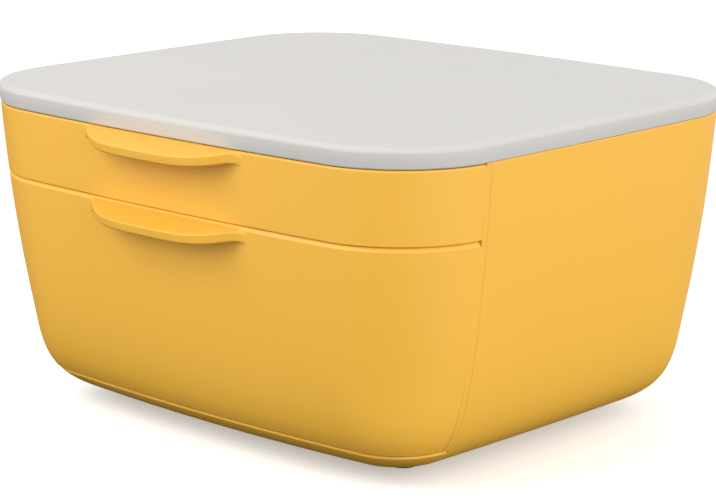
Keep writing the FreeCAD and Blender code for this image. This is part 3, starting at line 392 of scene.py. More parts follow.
# ----------------------------------------------------------- edge roundings
def round_up(zp, r, n=8):
    """Rows from the wall's outside over an edge to the level face at zp."""
    zq = zp
    for _ in range(30):
        zq = zp - r * (1 + slope(zq)[1])
    nx, nz = slope(zq)
    a0 = -math.asin(nz)
    rows = []
    for k in range(n + 1):
        a = a0 + (math.pi / 2 - a0) * k / n
        rows.append((zq, r * nx - r * math.cos(a), zp - r + r * math.sin(a)))
    return rows


def round_down(zp, r, n=6):
    """Rows from the wall's outside round an edge to the level face at zp below."""
    zq = zp
    for _ in range(30):
        zq = zp + r * (1 - slope(zq)[1])
    nx, nz = slope(zq)
    a0 = -math.asin(nz)
    rows = []
    for k in range(n + 1):
        a = a0 + (-math.pi / 2 - a0) * k / n
        rows.append((zq, r * nx - r * math.cos(a), zp + r + r * math.sin(a)))
    return rows


def wall_rows(z0, z1, step):
    """Heights between z0 and z1 spaced evenly along the wall's profile."""
    s0, s1 = run_at(z0), run_at(z1)
    n = max(1, int(round(abs(s1 - s0) / step)))
    return [z_of_run(s0 + (s1 - s0) * k / n) for k in range(n + 1)]


def inside_at(z, w=WALL):
    """(base height, inset) so that the row at height z lies w behind the skin."""
    zb = z
    for _ in range(30):
        zb = z - w * slope(zb)[1]
    zb = max(zb, 0.0)
    return zb, w * slope(zb)[0]


# ---------------------------------------------------------------- materials
def new_mat(name):
    m = bpy.data.materials.new(name)
    m.use_nodes = True
    nt = m.node_tree
    return m, nt, nt.nodes["Principled BSDF"]


def plastic(name, col_a, col_b, rough, grain=900.0, bump=0.05, cloud=7.0, rough_var=0.05, spec=0.5, coat=0.0):
    """Moulded plastic: two close tones in soft clouds, a fine spark-eroded
    grain in the bump, and a little wander in the roughness."""
    m, nt, bs = new_mat(name)
    tc = nt.nodes.new("ShaderNodeTexCoord")
    big = nt.nodes.new("ShaderNodeTexNoise")
    big.inputs["Scale"].default_value = cloud
    big.inputs["Detail"].default_value = 3.0
    nt.links.new(tc.outputs["Object"], big.inputs["Vector"])
    ramp = nt.nodes.new("ShaderNodeValToRGB")
    ramp.color_ramp.elements[0].position = 0.3
    ramp.color_ramp.elements[0].color = (*col_a, 1)
    ramp.color_ramp.elements[1].position = 0.7
    ramp.color_ramp.elements[1].color = (*col_b, 1)
    nt.links.new(big.outputs["Fac"], ramp.inputs["Fac"])
    nt.links.new(ramp.outputs["Color"], bs.inputs["Base Color"])
    fine = nt.nodes.new("ShaderNodeTexNoise")
    fine.inputs["Scale"].default_value = grain
    fine.inputs["Detail"].default_value = 4.0
    fine.inputs["Roughness"].default_value = 0.6
    nt.links.new(tc.outputs["Object"], fine.inputs["Vector"])
    bp = nt.nodes.new("ShaderNodeBump")
    bp.inputs["Strength"].default_value = bump
    bp.inputs["Distance"].default_value = 0.0004
    nt.links.new(fine.outputs["Fac"], bp.inputs["Height"])
    nt.links.new(bp.outputs["Normal"], bs.inputs["Normal"])
    rr = nt.nodes.new("ShaderNodeMapRange")
    rr.inputs["From Min"].default_value = 0.3
    rr.inputs["From Max"].default_value = 0.7
    rr.inputs["To Min"].default_value = rough - rough_var
    rr.inputs["To Max"].default_value = rough + rough_var
    nt.links.new(fine.outputs["Fac"], rr.inputs["Value"])
    nt.links.new(rr.outputs["Result"], bs.inputs["Roughness"])
    bs.inputs["Specular IOR Level"].default_value = spec
    if coat:
        bs.inputs["Coat Weight"].default_value = coat
        bs.inputs["Coat Roughness"].default_value = 0.3
    return m


YELLOW = plastic("shell_yellow", (0.806, 0.434, 0.0475), (0.821, 0.443, 0.0500), 0.50)
TRAY = plastic("tray_yellow", (0.765, 0.402, 0.043), (0.790, 0.418, 0.046), 0.42, grain=500.0, bump=0.03)
GREY = plastic("lid_grey", (0.530, 0.513, 0.484), (0.543, 0.525, 0.496), 0.55, grain=1100.0, bump=0.06)
RUNNER = plastic("runner_plastic", (0.74, 0.74, 0.72), (0.79, 0.79, 0.77), 0.35, grain=400.0, bump=0.02)
RUBBER = plastic("foot_rubber", (0.018, 0.018, 0.019), (0.030, 0.030, 0.031), 0.72, grain=700.0, bump=0.2)


def zinc():
    m, nt, bs = new_mat("screw_steel")
    tc = nt.nodes.new("ShaderNodeTexCoord")
    no = nt.nodes.new("ShaderNodeTexNoise")
    no.inputs["Scale"].default_value = 260.0
    no.inputs["Detail"].default_value = 5.0
    nt.links.new(tc.outputs["Object"], no.inputs["Vector"])
    ramp = nt.nodes.new("ShaderNodeValToRGB")
    ramp.color_ramp.elements[0].color = (0.52, 0.53, 0.55, 1)
    ramp.color_ramp.elements[1].color = (0.66, 0.66, 0.66, 1)
    nt.links.new(no.outputs["Fac"], ramp.inputs["Fac"])
    nt.links.new(ramp.outputs["Color"], bs.inputs["Base Color"])
    rr = nt.nodes.new("ShaderNodeMapRange")
    rr.inputs["To Min"].default_value = 0.25
    rr.inputs["To Max"].default_value = 0.42
    nt.links.new(no.outputs["Fac"], rr.inputs["Value"])
    nt.links.new(rr.outputs["Result"], bs.inputs["Roughness"])
    bs.inputs["Metallic"].default_value = 1.0
    return m


STEEL = zinc()

# -------------------------------------------------------------- column sets
X_COLS = [0, 5, 10, 15, 20, 25, 30, 34, 38, 41, 44, 46.5, 49, 51, 53, 55, 57, 58.5, 60, 61, 62, 63, 64, 64.9,
          66.5, 70, 75, 80]
END_E = [3.6, 2.6, 2.1, 1.75, 1.4, 1.15, 0.95, 0.75, 0.55, 0.38, 0.24, 0.13, 0.05, 0.0]


def front_cols(pl, y_end, corner=30):
    """Lengths along the outline for the columns from the front's middle to
    y_end, and each column's distance from that end."""
    s_end = pl.s_of_y(y_end)
    s = [pl.s_of_x(x) for x in X_COLS]
    m = max(2, 5)
    s += [s[-1] + (pl.L1 - s[-1]) * k / m for k in range(1, m + 1)]
    a = s_end - END_E[0]
    s += [pl.L1 + (a - pl.L1) * k / corner for k in range(1, corner)]
    s += [s_end - e for e in END_E]
    s = np.array(s)
    return s, s_end - s


# ------------------------------------------------------------ drawer fronts
Y_END = -93.74
LIP_HALF, LIP_REACH, LIP_SLOPE = 64.9, 17.84, 0.265


def lip_depth(x):
    u = np.clip(np.abs(x) / LIP_HALF, 0, 1)
    return LIP_REACH * (1 - u ** 4.35) ** 1.67


def lip_section(d, zr):
    """Side profile of the handle lip at reach d: (reach, height) pairs from the
    wall below it, out along its underside, up its front and back along its top."""
    e = max(d, 4.5)
    zu = zr - 5.8 - 0.115 * e
    zb = zu - 0.15 * e
    zf = zr - LIP_SLOPE * e
    p = [(0.0, zu - 1.3), (0.10, zu - 0.7), (0.36, zu - 0.26), (0.85, zu - 0.12)]
    for k in (0.35, 0.6):
        p.append((max(k * e, 0.9 + k), zu - 0.15 * k * e))
    p.append((e - 2.0, zu - 0.15 * (e - 2.0)))
    rb = 1.25
    cx, cz = e - 0.4 - rb, zb + rb
    for a in (10, 32, 54, 76, 90):
        p.append((cx + rb * math.sin(math.radians(a)), cz - rb * math.cos(math.radians(a))))
    rt = 0.9
    cx, cz = e - rt, zf - rt + 0.12
    p.append((e - 0.18, (zb + rb + cz) / 2))
    for a in (2, 22, 42, 60, 75):
        p.append((cx + rt * math.cos(math.radians(a)), cz + rt * math.sin(math.radians(a))))
    p.append((0.72 * (e - 1.0), zr - LIP_SLOPE * 0.72 * (e - 1.0)))
    p.append((0.44 * (e - 1.0), zr - LIP_SLOPE * 0.44 * (e - 1.0)))
    p.append((0.18 * (e - 1.0), zr - LIP_SLOPE * 0.18 * (e - 1.0)))
    p = np.array(p)
    p[:, 0] *= d / e
    return p


def drawer_front(name, z_lo, z_hi, zr, top_rows, bottom_r, mouth, foot_corner, head_corner, step):
    """Panel that wraps both front corners, with its lip, its top flange to the
    tray's mouth and its inner skin, as one closed mesh."""
    b = Build()
    NL = len(lip_section(10.0, zr))
    z_w = zr - 10.2
    top_start = top_rows[0][0]
    # loop of rows: spec = ("skin", zbase, inset, z), or lip, or mouth
    specs = []
    low = round_down(z_lo, bottom_r)
    specs += [("p",) + r for r in reversed(low)]
    for z in wall_rows(low[0][0], z_w, step)[1:]:
        specs.append(("p", z, 0.0, z))
    even = np.linspace(z_w, top_start, NL + 2)[1:-1]
    for k in range(NL):
        specs.append(("lip", k, even[k]))
    for k, r in enumerate(top_rows):
        specs.append(("top", k) + r)
    d_in, z_b = None, None
    # top flange, mouth edge, flange underside
    for f in (0.12, 0.5, 0.9, 0.985):
        specs.append(("flange", f, z_hi))
    specs.append(("mouth", 0.0, z_hi - 0.0))
    specs[-1] = ("mouth", 0.10, z_hi)
    specs.append(("mouth", 0.0, z_hi - 0.12))
    specs.append(("mouth", 0.0, z_hi - 2.8))
    specs.append(("mouth", 0.12, z_hi - 3.0))
    for f in (0.9, 0.5, 0.12, 0.03):
        specs.append(("under", f, z_hi - 3.0))
    zi = [z_hi - 3.0] + [z for z in wall_rows(z_hi - 4.0, z_lo + 1.2, step * 1.7)] + [z_lo]
    for z in zi:
        zb, di = inside_at(z)
        specs.append(("p", zb, di, z))
    top_d, top_zb = top_rows[-1][1], top_rows[-1][0]
    H = z_hi - z_lo
    right = []
    for sp in specs:
        kind = sp[0]
        if kind == "p":
            _, zb, d, z = sp
            pl = outline(zb, d)
            s, e = front_cols(pl, Y_END)
            P, n = pl.at(s)
            zz = np.full(len(s), float(z))
            dd = np.full(len(s), float(d))
        elif kind == "lip":
            _, k, ze = sp
            pl = outline(ze)
            s, e = front_cols(pl, Y_END)
            P, n = pl.at(s)
            zz = np.full(len(s), float(ze))
            dd = np.zeros(len(s))
            xs = P[:, 0]
            for j in range(len(s)):
                if xs[j] < LIP_HALF and j < len(X_COLS):
                    d = float(lip_depth(X_COLS[j]))
                    w = float(smooth01(d / 2.5))
                    h, z = lip_section(d, zr)[k]
                    z = (1 - w) * ze + w * z
                    q = outline(round(z, 3))
                    pp, nn = q.at([q.s_of_x(X_COLS[j])])
                    P[j], n[j] = pp[0] + nn[0] * h, nn[0]
                    zz[j] = z
        elif kind == "top":
            _, k, zb, d, z = sp
            pl = outline(zb, d)
            s, e = front_cols(pl, Y_END)
            P, n = pl.at(s)
            zz = np.full(len(s), float(z))
            dd = np.full(len(s), float(d))
            t = k / (len(top_rows) - 1.0)
            for j in range(len(X_COLS)):
                if X_COLS[j] < LIP_HALF:
                    w = float(smooth01(lip_depth(X_COLS[j]) / 3.0))
                    # where the lip leaves, the edge runs on into its top face
                    dl = top_d * t
                    zl = zr + (z_hi - zr) * (1 - (1 - t) ** 1.35) if z_hi - zr > 0.5 else zr + (z_hi - zr) * t
                    di = (1 - w) * d + w * dl
                    q = outline(top_zb, di)
                    base = outline(zr if w > 0.999 else zb, di)
                    pp, nn = base.at([base.s_of_x(X_COLS[j])])
                    P[j] = pp[0]
                    zz[j] = (1 - w) * z + w * zl
        else:
            _, f, z = sp
            mo = mouth(f if kind == "mouth" else 0.0)
            s, e = front_cols(mo, Y_END)
            P, n = mo.at(s)
            zz = np.full(len(s), float(z))
            dd = np.full(len(s), WALL)
            if kind in ("flange", "under"):
                if kind == "flange":
                    o = outline(top_zb, top_d)
                else:
                    zb, di = inside_at(z)
                    o = outline(zb, di)
                s2, e = front_cols(o, Y_END)
                Q, _n = o.at(s2)
                P = Q * (1 - f) + P * f
        # rounded vertical end and rounded panel corners
        re = 0.06
        off = np.where(e < re, re - np.sqrt(np.maximum(re * re - (re - e) ** 2, 0)), 0.0)
        off = off * np.clip(1 - dd / WALL, 0, 1)
        P = P - n * off[:, None]
        g = []
        for w_, h_ in (foot_corner, head_corner):
            t_ = np.clip(1 - e / w_, 0, 1)
            g.append(h_ * (1 - np.sqrt(1 - t_ * t_)))
        zz = z_lo + g[0] + (zz - z_lo) * (H - g[0] - g[1]) / H
        row = np.column_stack([P, zz])
        right.append(mirror_row(row))
    rows = [b.add(r) for r in right]
    for p, q in zip(rows, rows[1:] + rows[:1]):
        b.strip(p, q)
    b.face([r[0] for r in rows])
    b.face([r[-1] for r in reversed(rows)])
    return b


def front_bosses(b, spots, tray_face):
    """Screw bosses between a front's inner skin and its tray."""
    for x, z in spots:
        i = inset(z)
        skin = -(HALF_D - TAPER * i) + BOW_F * (x / (HALF_W - i)) ** 2
        wall = tray_face(z) + R_F - math.sqrt(R_F * R_F - x * x)
        b.turned((x, skin + 1.6, z), (0, 1, 0), [(0.0, 0.0), (3.6, 0.0), (3.6, wall - 0.35 - skin - 1.6), (3.3, wall - 0.05 - skin - 1.6),
                                               (0.0, wall - 0.05 - skin - 1.6)])


R_F = (HALF_W ** 2 + BOW_F ** 2) / (2 * BOW_F)


def mouth_plan(depth):
    R = (HALF_W ** 2 + BOW_F ** 2) / (2 * BOW_F)

    def at(d):
        return Plan(142.0 - 1.8 + d, depth - 1.8 + d, 14.0 - 1.8 + d, R - 1.8 + d, 4.0e5)
    return at


def bevel_top(zp, drop, deep):
    """Soft chamfer between the wall and the level top: drop down the wall and
    deep across the top."""
    rows = []
    pts = [(drop, 0.0), (drop * 0.86, 0.03), (drop * 0.74, 0.14 * deep), (drop * 0.5, 0.36 * deep),
           (drop * 0.26, 0.60 * deep), (drop * 0.12, 0.76 * deep), (drop * 0.035, 0.89 * deep), (0.0, deep)]
    for dn, d in pts:
        rows.append((zp - drop, d, zp - dn))
    return rows


upper = drawer_front("upper_drawer_front", 141.5, 183.0, 182.94, round_up(183.0, 1.1), 0.5,
                     mouth_plan(153.0), (0.35, 0.35), (1.1, 1.5), 3.0)
front_bosses(upper, ((-110.0, 161.0), (110.0, 161.0), (-45.0, 161.0), (45.0, 161.0)), lambda z: -153.0)
shown(upper, "upper_front_shell", "upper_drawer", ["upper_drawer_front"], YELLOW)
lower = drawer_front("lower_drawer_front", 19.6, 141.1, 139.31, bevel_top(141.1, 2.6, 1.7), 1.3,
                     mouth_plan(151.3), (2.2, 1.2), (1.35, 2.3), 3.0)
front_bosses(lower, ((-105.0, 112.0), (105.0, 112.0), (-95.0, 62.0), (95.0, 62.0)),
             lambda z: -(127.0 + 24.3 * (z - 22.3) / 115.3))
shown(lower, "lower_front_shell", "lower_drawer", ["lower_drawer_front"], YELLOW)


# --------------------------------------------------------------- case shell
Y_JOINT = -89.14
SILL = 18.9


def rear_cols(pl, first):
    """Lengths from the joint to the middle of the back."""
    s0 = pl.s_of_y(Y_JOINT)
    s = [s0 + d for d in first]
    a = s[-1]
    c0, c1 = pl.L - pl.L2, pl.L - pl.L1
    s += [a + (c0 - a) * k / 16 for k in range(1, 17)]
    s += [c0 + (c1 - c0) * k / 28 for k in range(1, 29)]
    s += [c1 + (pl.L - c1) * k / 12 for k in range(1, 13)]
    s = np.array(s)
    return s, s - s0


JOINT_D = [0.0, 0.1, 0.22, 0.36, 0.52, 0.7, 0.92, 1.16, 1.4, 2.2, 3.8]


def case_shell():
    b = Build()
    sill = round_up(SILL, 1.2, 9)
    zq = sill[0][0]
    low = wall_rows(0.0, zq, 2.2)
    high = wall_rows(zq, 183.4, 3.4)
    top = round_up(183.4, 0.7, 5)
    high = [z for z in high if z < top[0][0] - 0.5]

    def front(pl):
        s, e = front_cols(pl, Y_JOINT)
        return pl.at(s)

    def rear(pl):
        s, e = rear_cols(pl, JOINT_D)
        P, n = pl.at(s)
        return P, n, e

    def full(zb, d, z, shrink=0.0):
        """Closed ring: front right, rear right, rear left, front left."""
        pl = outline(zb, d)
        F, fn = front(pl)
        R, rn, _ = rear(pl)
        r = np.concatenate([F - fn * shrink, (R - rn * shrink)[1:]])
        l = r[-2:0:-1].copy()
        l[:, 0] *= -1
        ring = np.concatenate([r, l])
        return np.column_stack([ring, np.full(len(ring), float(z))])

    pl = outline(zq)
    NF = len(front_cols(pl, Y_JOINT)[0])          # columns 0..NF-1, the last on the joint
    NR = len(rear_cols(pl, JOINT_D)[0])
    N = 2 * (NF + NR - 1) - 2
    rj, lj = NF - 1, N - (NF - 1)                 # the two joint columns
    # outside, from the underside up to where the sill's edge starts to turn
    b_rows = []
    for z in low:
        b_rows.append(b.add(full(z, 0.0, z)))
    # underside: two rings towards the middle, then one face
    under = [b.add(full(0.0, 0.0, 0.0, d)) for d in (0.8, 6.0)]
    for p, q in zip([b_rows[0]] + under, under):
        b.strip(p, q, True)
    b.face(under[-1])
    for p, q in zip(b_rows, b_rows[1:]):
        b.strip(p, q, True)
    ring = b_rows[-1]

    def take_front(idx):
        return idx[lj:] + idx[:rj + 1]

    def take_rear(idx):
        return idx[rj:lj + 1]

    def front_row(zb, d, z):
        P, _ = front(outline(zb, d))
        return b.add(mirror_row(np.column_stack([P, np.full(len(P), float(z))])))

    # sill: over its rounded edge, across, and down its inner face
    fr = [take_front(ring)]
    for (zb, d, z) in sill[1:]:
        fr.append(front_row(zb, d, z))
    zbi, di = inside_at(SILL)
    for k in (0.5, 1.0):
        o = sill[-1]
        pa, _ = front(outline(o[0], o[1]))
        pb, _ = front(outline(zbi, di))
        P = pa * (1 - k) + pb * k
        fr.append(b.add(mirror_row(np.column_stack([P, np.full(len(P), SILL)]))))
    for p, q in zip(fr, fr[1:]):
        b.strip(p, q)
    # inner skin, full ring up to the sill's inner edge
    zi_top = zbi
    inner_z = wall_rows(0.0, zi_top, 3.0)
    inner = []
    for z in inner_z[:-1]:
        nx, nz = slope(z)
        inner.append(b.add(full(z, WALL * nx, z + WALL * nz)))
    for p, q in zip(inner, inner[1:]):
        b.strip(p, q, True)
    nx, nz = slope(0.0)
    base = [b.add(full(0.0, WALL * nx, WALL * nz, d)) for d in (0.8, 6.0)]
    for p, q in zip([inner[0]] + base, base):
        b.strip(p, q, True)
    b.face(base[-1])
    b.strip(take_front(inner[-1]), fr[-1])
    # rear part: outside up to the rim, over it and down the inner skin

    def rear_row(zb, d, z, fade=1.0, inner_skin=False):
        pl_ = outline(zb, d)
        P, n, e = rear(pl_)
        if not inner_skin:
            off = 0.26 * np.clip(1 - e / 1.4, 0, 1) ** 2 * fade
            P = P - n * off[:, None]
        r = np.column_stack([P, np.full(len(P), float(z))])
        l = r[-2::-1].copy()
        l[:, 0] *= -1
        return b.add(np.concatenate([r, l]))

    rr = [take_rear(ring)]
    for z in high[1:]:
        rr.append(rear_row(z, 0.0, z, float(smooth01((z - zq) / 2.2))))
    for (zb, d, z) in top:
        rr.append(rear_row(zb, d, z, max(0.0, 1 - d / WALL)))
    zt, dt = inside_at(183.4)
    rr.append(rear_row(zt, dt - 0.3, 183.4, 0.0))
    rr.append(rear_row(zt, dt, 183.1, 0.0, True))
    for z in reversed(wall_rows(zi_top + 1.5, zt - 2.0, 5.0)):
        nx, nz = slope(z)
        rr.append(rear_row(z, WALL * nx, z + WALL * nz, 0.0, True))
    # the row level with the sill's inner edge shares its end columns
    zlast = rear_row(zbi, di, SILL, 0.0, True)
    rr.append(zlast)
    for p, q in zip(rr, rr[1:]):
        b.strip(p, q)
    b.strip(zlast, take_rear(inner[-1]))
    # cut faces at the two joints
    for end, side in ((0, -1), (-1, 0)):
        loop = [r[end] for r in rr]                # outside up, over, inside down
        back = [r[side] for r in fr]               # sill's section at that joint
        b.face(loop + list(reversed(back))[1:-1] if True else loop)
    return b


cs = case_shell()
PANEL_SCREWS = ((-60.0, 100.0, 175.0), (76.0, 100.0, 175.0), (-60.0, 44.0, 163.4), (72.0, 44.0, 163.4))
for side in (-1.0, 1.0):
    for y, z, reach in PANEL_SCREWS:
        cs.turned((side * 154.5, y, z), (side, 0, 0), [(0.0, 0.0), (3.3, 0.0), (3.6, 0.3), (3.6, reach - 154.5), (0.0, reach - 154.5)])
shown(cs, "tub_shell", "case", ["case_shell"], YELLOW)


# ---------------------------------------------------------------------- lid
def lid():
    b = Build()
    FL = 1.05

    def ring(d, z):
        pl = outline(183.4, d)
        s1 = np.linspace(0, pl.L1, 22)[:-1]
        s2 = np.linspace(pl.L1, pl.L2, 30)[:-1]
        s3 = np.linspace(pl.L2, pl.L - pl.L2, 22)[:-1]
        s4 = np.linspace(pl.L - pl.L2, pl.L - pl.L1, 30)[:-1]
        s5 = np.linspace(pl.L - pl.L1, pl.L, 22)
        P, _ = pl.at(np.concatenate([s1, s2, s3, s4, s5]))
        l = P[-2:0:-1].copy()
        l[:, 0] *= -1
        P = np.concatenate([P, l])
        return b.add(np.column_stack([P, np.full(len(P), float(z))]))

    rows = []
    # step under the skirt, then the skirt's rounded lower edge
    rows.append(ring(3.0, 192.7))
    rows.append(ring(3.0, 183.7))
    rows.append(ring(2.8, 183.4))
    rows.append(ring(1.0, 183.4))
    rows.append(ring(0.8, 183.5))
    rows.append(ring(0.8, 183.75))
    r = 0.5
    for k in range(6):
        a = math.radians(90.0 * k / 5)
        rows.append(ring(r - r * math.sin(a) - 0.0, 183.8 + (r + 0.1) * (1 - math.cos(a))))
    z_edge = 195.7 - 3.93
    for k in range(1, 5):
        t = k / 4.0
        rows.append(ring(-FL * (1 - (1 - t) ** 1.6), 184.4 + (z_edge - 184.4) * t))
    for k in range(1, 15):
        a = math.radians(90.0 * k / 14)
        rows.append(ring(-FL + 3.93 * (1 - math.cos(a)), z_edge + 3.93 * math.sin(a)))
    for d in (4.2, 7.0, 12.0, 24.0, 42.0):
        rows.append(ring(d, 195.7))
    for p, q in zip(rows, rows[1:]):
        b.strip(p, q, True)
    b.face(rows[-1])
    inner = [rows[0], ring(3.9, 192.7), ring(20.0, 192.7)]
    for p, q in zip(inner, inner[1:]):
        b.strip(p, q, True)
    b.face(inner[-1])
    for sx in (-161.0, 161.0):
        for y in (-60.0, 30.0, 112.0):
            b.lathe(sx, y, [(1.3, 183.4), (3.3, 183.4), (3.6, 183.7), (3.6, 193.1), (1.3, 193.1)])
    return b


shown(lid(), "lid_shell", "case", ["lid"], GREY)

# ------------------------------------------------------------- guide panels
PANEL = [(-93.5, 32.0), (96.0, 32.0), (107.0, 46.0), (118.0, 60.0), (130.0, 110.0), (138.0, 146.0), (138.0, 183.4),
         (-93.5, 183.4)]
STRIP_F, STRIP_R = -93.7, -89.24


def guide_panel(side):
    b = Build()
    rows = []
    zs = wall_rows(19.6, 183.4, 3.0)
    E = (0.0, 0.03, 0.08, 0.14, 0.22, 0.32, 0.45, 0.7, 1.2)
    for n, z in enumerate(zs):
        pl = outline(round(z, 4))
        s0, s1 = pl.s_of_y(STRIP_F), pl.s_of_y(STRIP_R)
        s = [s0 + e for e in E] + [s0 + (s1 - s0) * k for k in (0.4, 0.52)] + [
            s1 - e for e in (1.4, 1.16, 0.92, 0.7, 0.52, 0.36, 0.22, 0.1, 0.0)]
        s = np.array(s)
        P, nn = pl.at(s)
        e, r = s - s0, 0.05
        off = np.where(e < r, r - np.sqrt(np.maximum(r * r - (r - e) ** 2, 0)), 0.0)
        off += 0.30 * np.clip(1 - (s1 - s) / 1.4, 0, 1) ** 2
        P = P - nn * off[:, None]
        lead = [(152.06, STRIP_F), ((152.06 + P[0, 0]) / 2, STRIP_F)]
        tail = [((152.06 + P[-1, 0]) / 2, P[-1, 1]), (152.06, P[-1, 1])]
        R = np.array(lead + [tuple(q) for q in P] + tail)
        R[:, 0] *= side
        rows.append(b.add(np.column_stack([R, np.full(len(R), z)])))
    for p, q in zip(rows, rows[1:]):
        b.strip(p, q, True)
    b.face(rows[0])
    b.face(list(reversed(rows[-1])))
    b.prism(PANEL, side * 152.0, side * 154.5, "x", 0.35)
    x0, x1 = sorted((side * 154.0, side * 167.0))
    b.prism([(x0, -80.0), (x1, -80.0), (x1, 128.0), (x0, 128.0)], 181.3, 183.35, "z", 0.35)
    return b


for nm, side in (("left", -1.0), ("right", 1.0)):
    shown(guide_panel(side), "guide_%s_shell" % nm, "case", ["guide_panel_" + nm], YELLOW)

# ------------------------------------------------------------------ runners
for rn, z, y1 in (("upper", 175.6, 134.0), ("lower", 133.5, 126.0)):
    for nm, side in (("left", -1.0), ("right", 1.0)):
        b = Build()
        prof = [(145.6, 0.0), (152.0, 0.0), (152.0, 5.6), (145.6, 5.6), (145.6, 4.4), (150.4, 4.4), (150.4, 1.6), (145.6, 1.6)]
        b.prism([(side * x, z + h) for x, h in prof], -86.0, y1, "y", 0.28)
        x0, x1 = sorted((side * 148.3, side * 150.8))
        b.prism([(x0, -85.8), (x1, -85.8), (x1, -82.0), (x0, -82.0)], z + 1.3, z + 4.7, "z", 0.25)
        for y in (-70.0, 25.0, 118.0):
            b.turned((side * 151.5, y, z + 3.0), (side, 0, 0), [(0.0, 0.0), (2.0, 0.0), (2.0, 2.7), (1.7, 3.0), (0.0, 3.0)])
        shown(b, "%s_runner_%s_rail" % (rn, nm), "case", ["%s_runner_%s" % (rn, nm)], RUNNER)

# ------------------------------------------------------------ divider shelf
lo_, hi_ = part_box("divider_shelf")
b = Build()
H_, T_, Z_ = 151.8, 1.6, 139.6
b.prism([(-H_, Z_), (H_, Z_), (H_, Z_ + 12.0), (H_ - T_, Z_ + 12.0), (H_ - T_, Z_ + T_), (-H_ + T_, Z_ + T_),
         (-H_ + T_, Z_ + 12.0), (-H_, Z_ + 12.0)], lo_[1] * 1000 - SHIFT_Y, hi_[1] * 1000 - SHIFT_Y, "y", 0.4)
shown(b, "divider_shelf_plate", "case", ["divider_shelf"], TRAY)

# -------------------------------------------------------------------- trays
R_FRONT = (HALF_W ** 2 + BOW_F ** 2) / (2 * BOW_F)
TRAYS = {"upper": (143.2, 179.7, (142.0, 153.0, 14.0), (142.0, 153.0, 14.0)),
         "lower": (22.3, 137.6, (134.0, 127.0, 30.0), (142.0, 151.3, 14.0))}


def tray(rn):
    b = Build()
    flo, top, base, rim = TRAYS[rn]

    def ring(z, o):
        f = min(max((z - flo) / (top - flo), 0.0), 1.0)
        A, B, r = (p + (q - p) * f for p, q in zip(base, rim))
        pl = Plan(A - o, B - o, max(r - o, 1.2), R_FRONT - o, 4.0e5)
        s = np.concatenate([np.linspace(0, pl.L1, 14)[:-1], np.linspace(pl.L1, pl.L2, 14)[:-1],
                            np.linspace(pl.L2, pl.L - pl.L2, 16)[:-1], np.linspace(pl.L - pl.L2, pl.L - pl.L1, 14)[:-1],
                            np.linspace(pl.L - pl.L1, pl.L, 14)])
        P, _ = pl.at(s)
        l = P[-2:0:-1].copy()
        l[:, 0] *= -1
        P = np.concatenate([P, l])
        return b.add(np.column_stack([P, np.full(len(P), float(z))]))

    ew, wall = 8.0, 1.8
    rows = [ring(flo, o) for o in (70.0, 40.0, 20.0, 11.0)]
    for k in range(10):
        a = math.radians(10.0 * k)
        rows.append(ring(flo + ew * (1 - math.cos(a)), ew * (1 - math.sin(a))))
    z0, z1 = flo + ew, top - wall / 2
    m = 4 if rn == "upper" else 12
    rows += [ring(z0 + (z1 - z0) * k / m, 0.0) for k in range(0, m + 1)]
    for k in range(1, 10):
        a = math.radians(20.0 * k)
        rows.append(ring(top - wall / 2 + wall / 2 * math.sin(a), wall / 2 * (1 - math.cos(a))))
    z2 = flo + 2.0 + (ew - wall)
    rows += [ring(z1 + (z2 - z1) * k / m, wall) for k in range(1, m + 1)]
    for k in range(1, 10):
        a = math.radians(90.0 - 10.0 * k)
        rows.append(ring(flo + 2.0 + (ew - wall) * (1 - math.cos(a)), wall + (ew - wall) * (1 - math.sin(a))))
    rows += [ring(flo + 2.0, o) for o in (11.0, 20.0, 40.0, 70.0)]
    for p, q in zip(rows, rows[1:]):
        b.strip(p, q, True)
    b.face(rows[0])
    b.face(list(reversed(rows[-1])))
    yb, n0, n1 = (144.0, 129.0, 137.0) if rn == "upper" else (138.0, 121.0, 129.0)
    for side in (-1.0, 1.0):
        pts = [(141.1, -140.0), (147.6, -140.0), (147.6, n0), (143.5, n0), (143.5, n1), (147.6, n1), (147.6, yb), (141.1, yb)]
        b.prism([(side * x, y) for x, y in pts], top - 2.0, top - 0.03, "z", 0.3)
    return b


FRONT_SCREWS = {"upper": ((-110.0, 161.0), (110.0, 161.0), (-45.0, 161.0), (45.0, 161.0)),
                "lower": ((-105.0, 112.0), (105.0, 112.0), (-95.0, 62.0), (95.0, 62.0))}
for rn in ("upper", "lower"):
    body = rn + "_drawer"
    shown(tray(rn), rn + "_tray_shell", body, [rn + "_drawer_tray"], TRAY)
    flo, top, base, rim = TRAYS[rn]
    n0, n1 = (129.0, 137.0) if rn == "upper" else (121.0, 129.0)
    for nm, side in (("left", -1.0), ("right", 1.0)):
        b = Build()
        x0, x1 = sorted((side * 143.6, side * 149.8))
        b.prism([(x0, n0 + 0.1), (x1, n0 + 0.1), (x1, n1 - 0.1), (x0, n1 - 0.1)], top - 2.0, top, "z", 0.3)
        x0, x1 = sorted((side * 142.1, side * 145.0))
        b.prism([(x0, n0 + 1.0), (x1, n0 + 1.0), (x1, n1 - 1.0), (x0, n1 - 1.0)], top - 4.5, top - 1.8, "z", 0.25)
        shown(b, "%s_stop_%s_clip" % (rn, nm), body, ["%s_drawer_stop_%s" % (rn, nm)], RUNNER)
    b = Build()
    for x, z in FRONT_SCREWS[rn]:
        f = (z - flo) / (top - flo)
        dep = base[1] + (rim[1] - base[1]) * f
        bow = R_FRONT - math.sqrt(R_FRONT ** 2 - x * x)
        head = -(dep - 1.8) + bow + (0.25 if rn == "upper" else 0.75)
        i = inset(z)
        skin = -(HALF_D - TAPER * i) + BOW_F * (x / (HALF_W - i)) ** 2
        b.screw((x, head, z), (0, -1, 0), head - skin - 2.1)
    shown(b, rn + "_tray_screws", body, [rn + "_drawer_screws"], STEEL, 50.0)

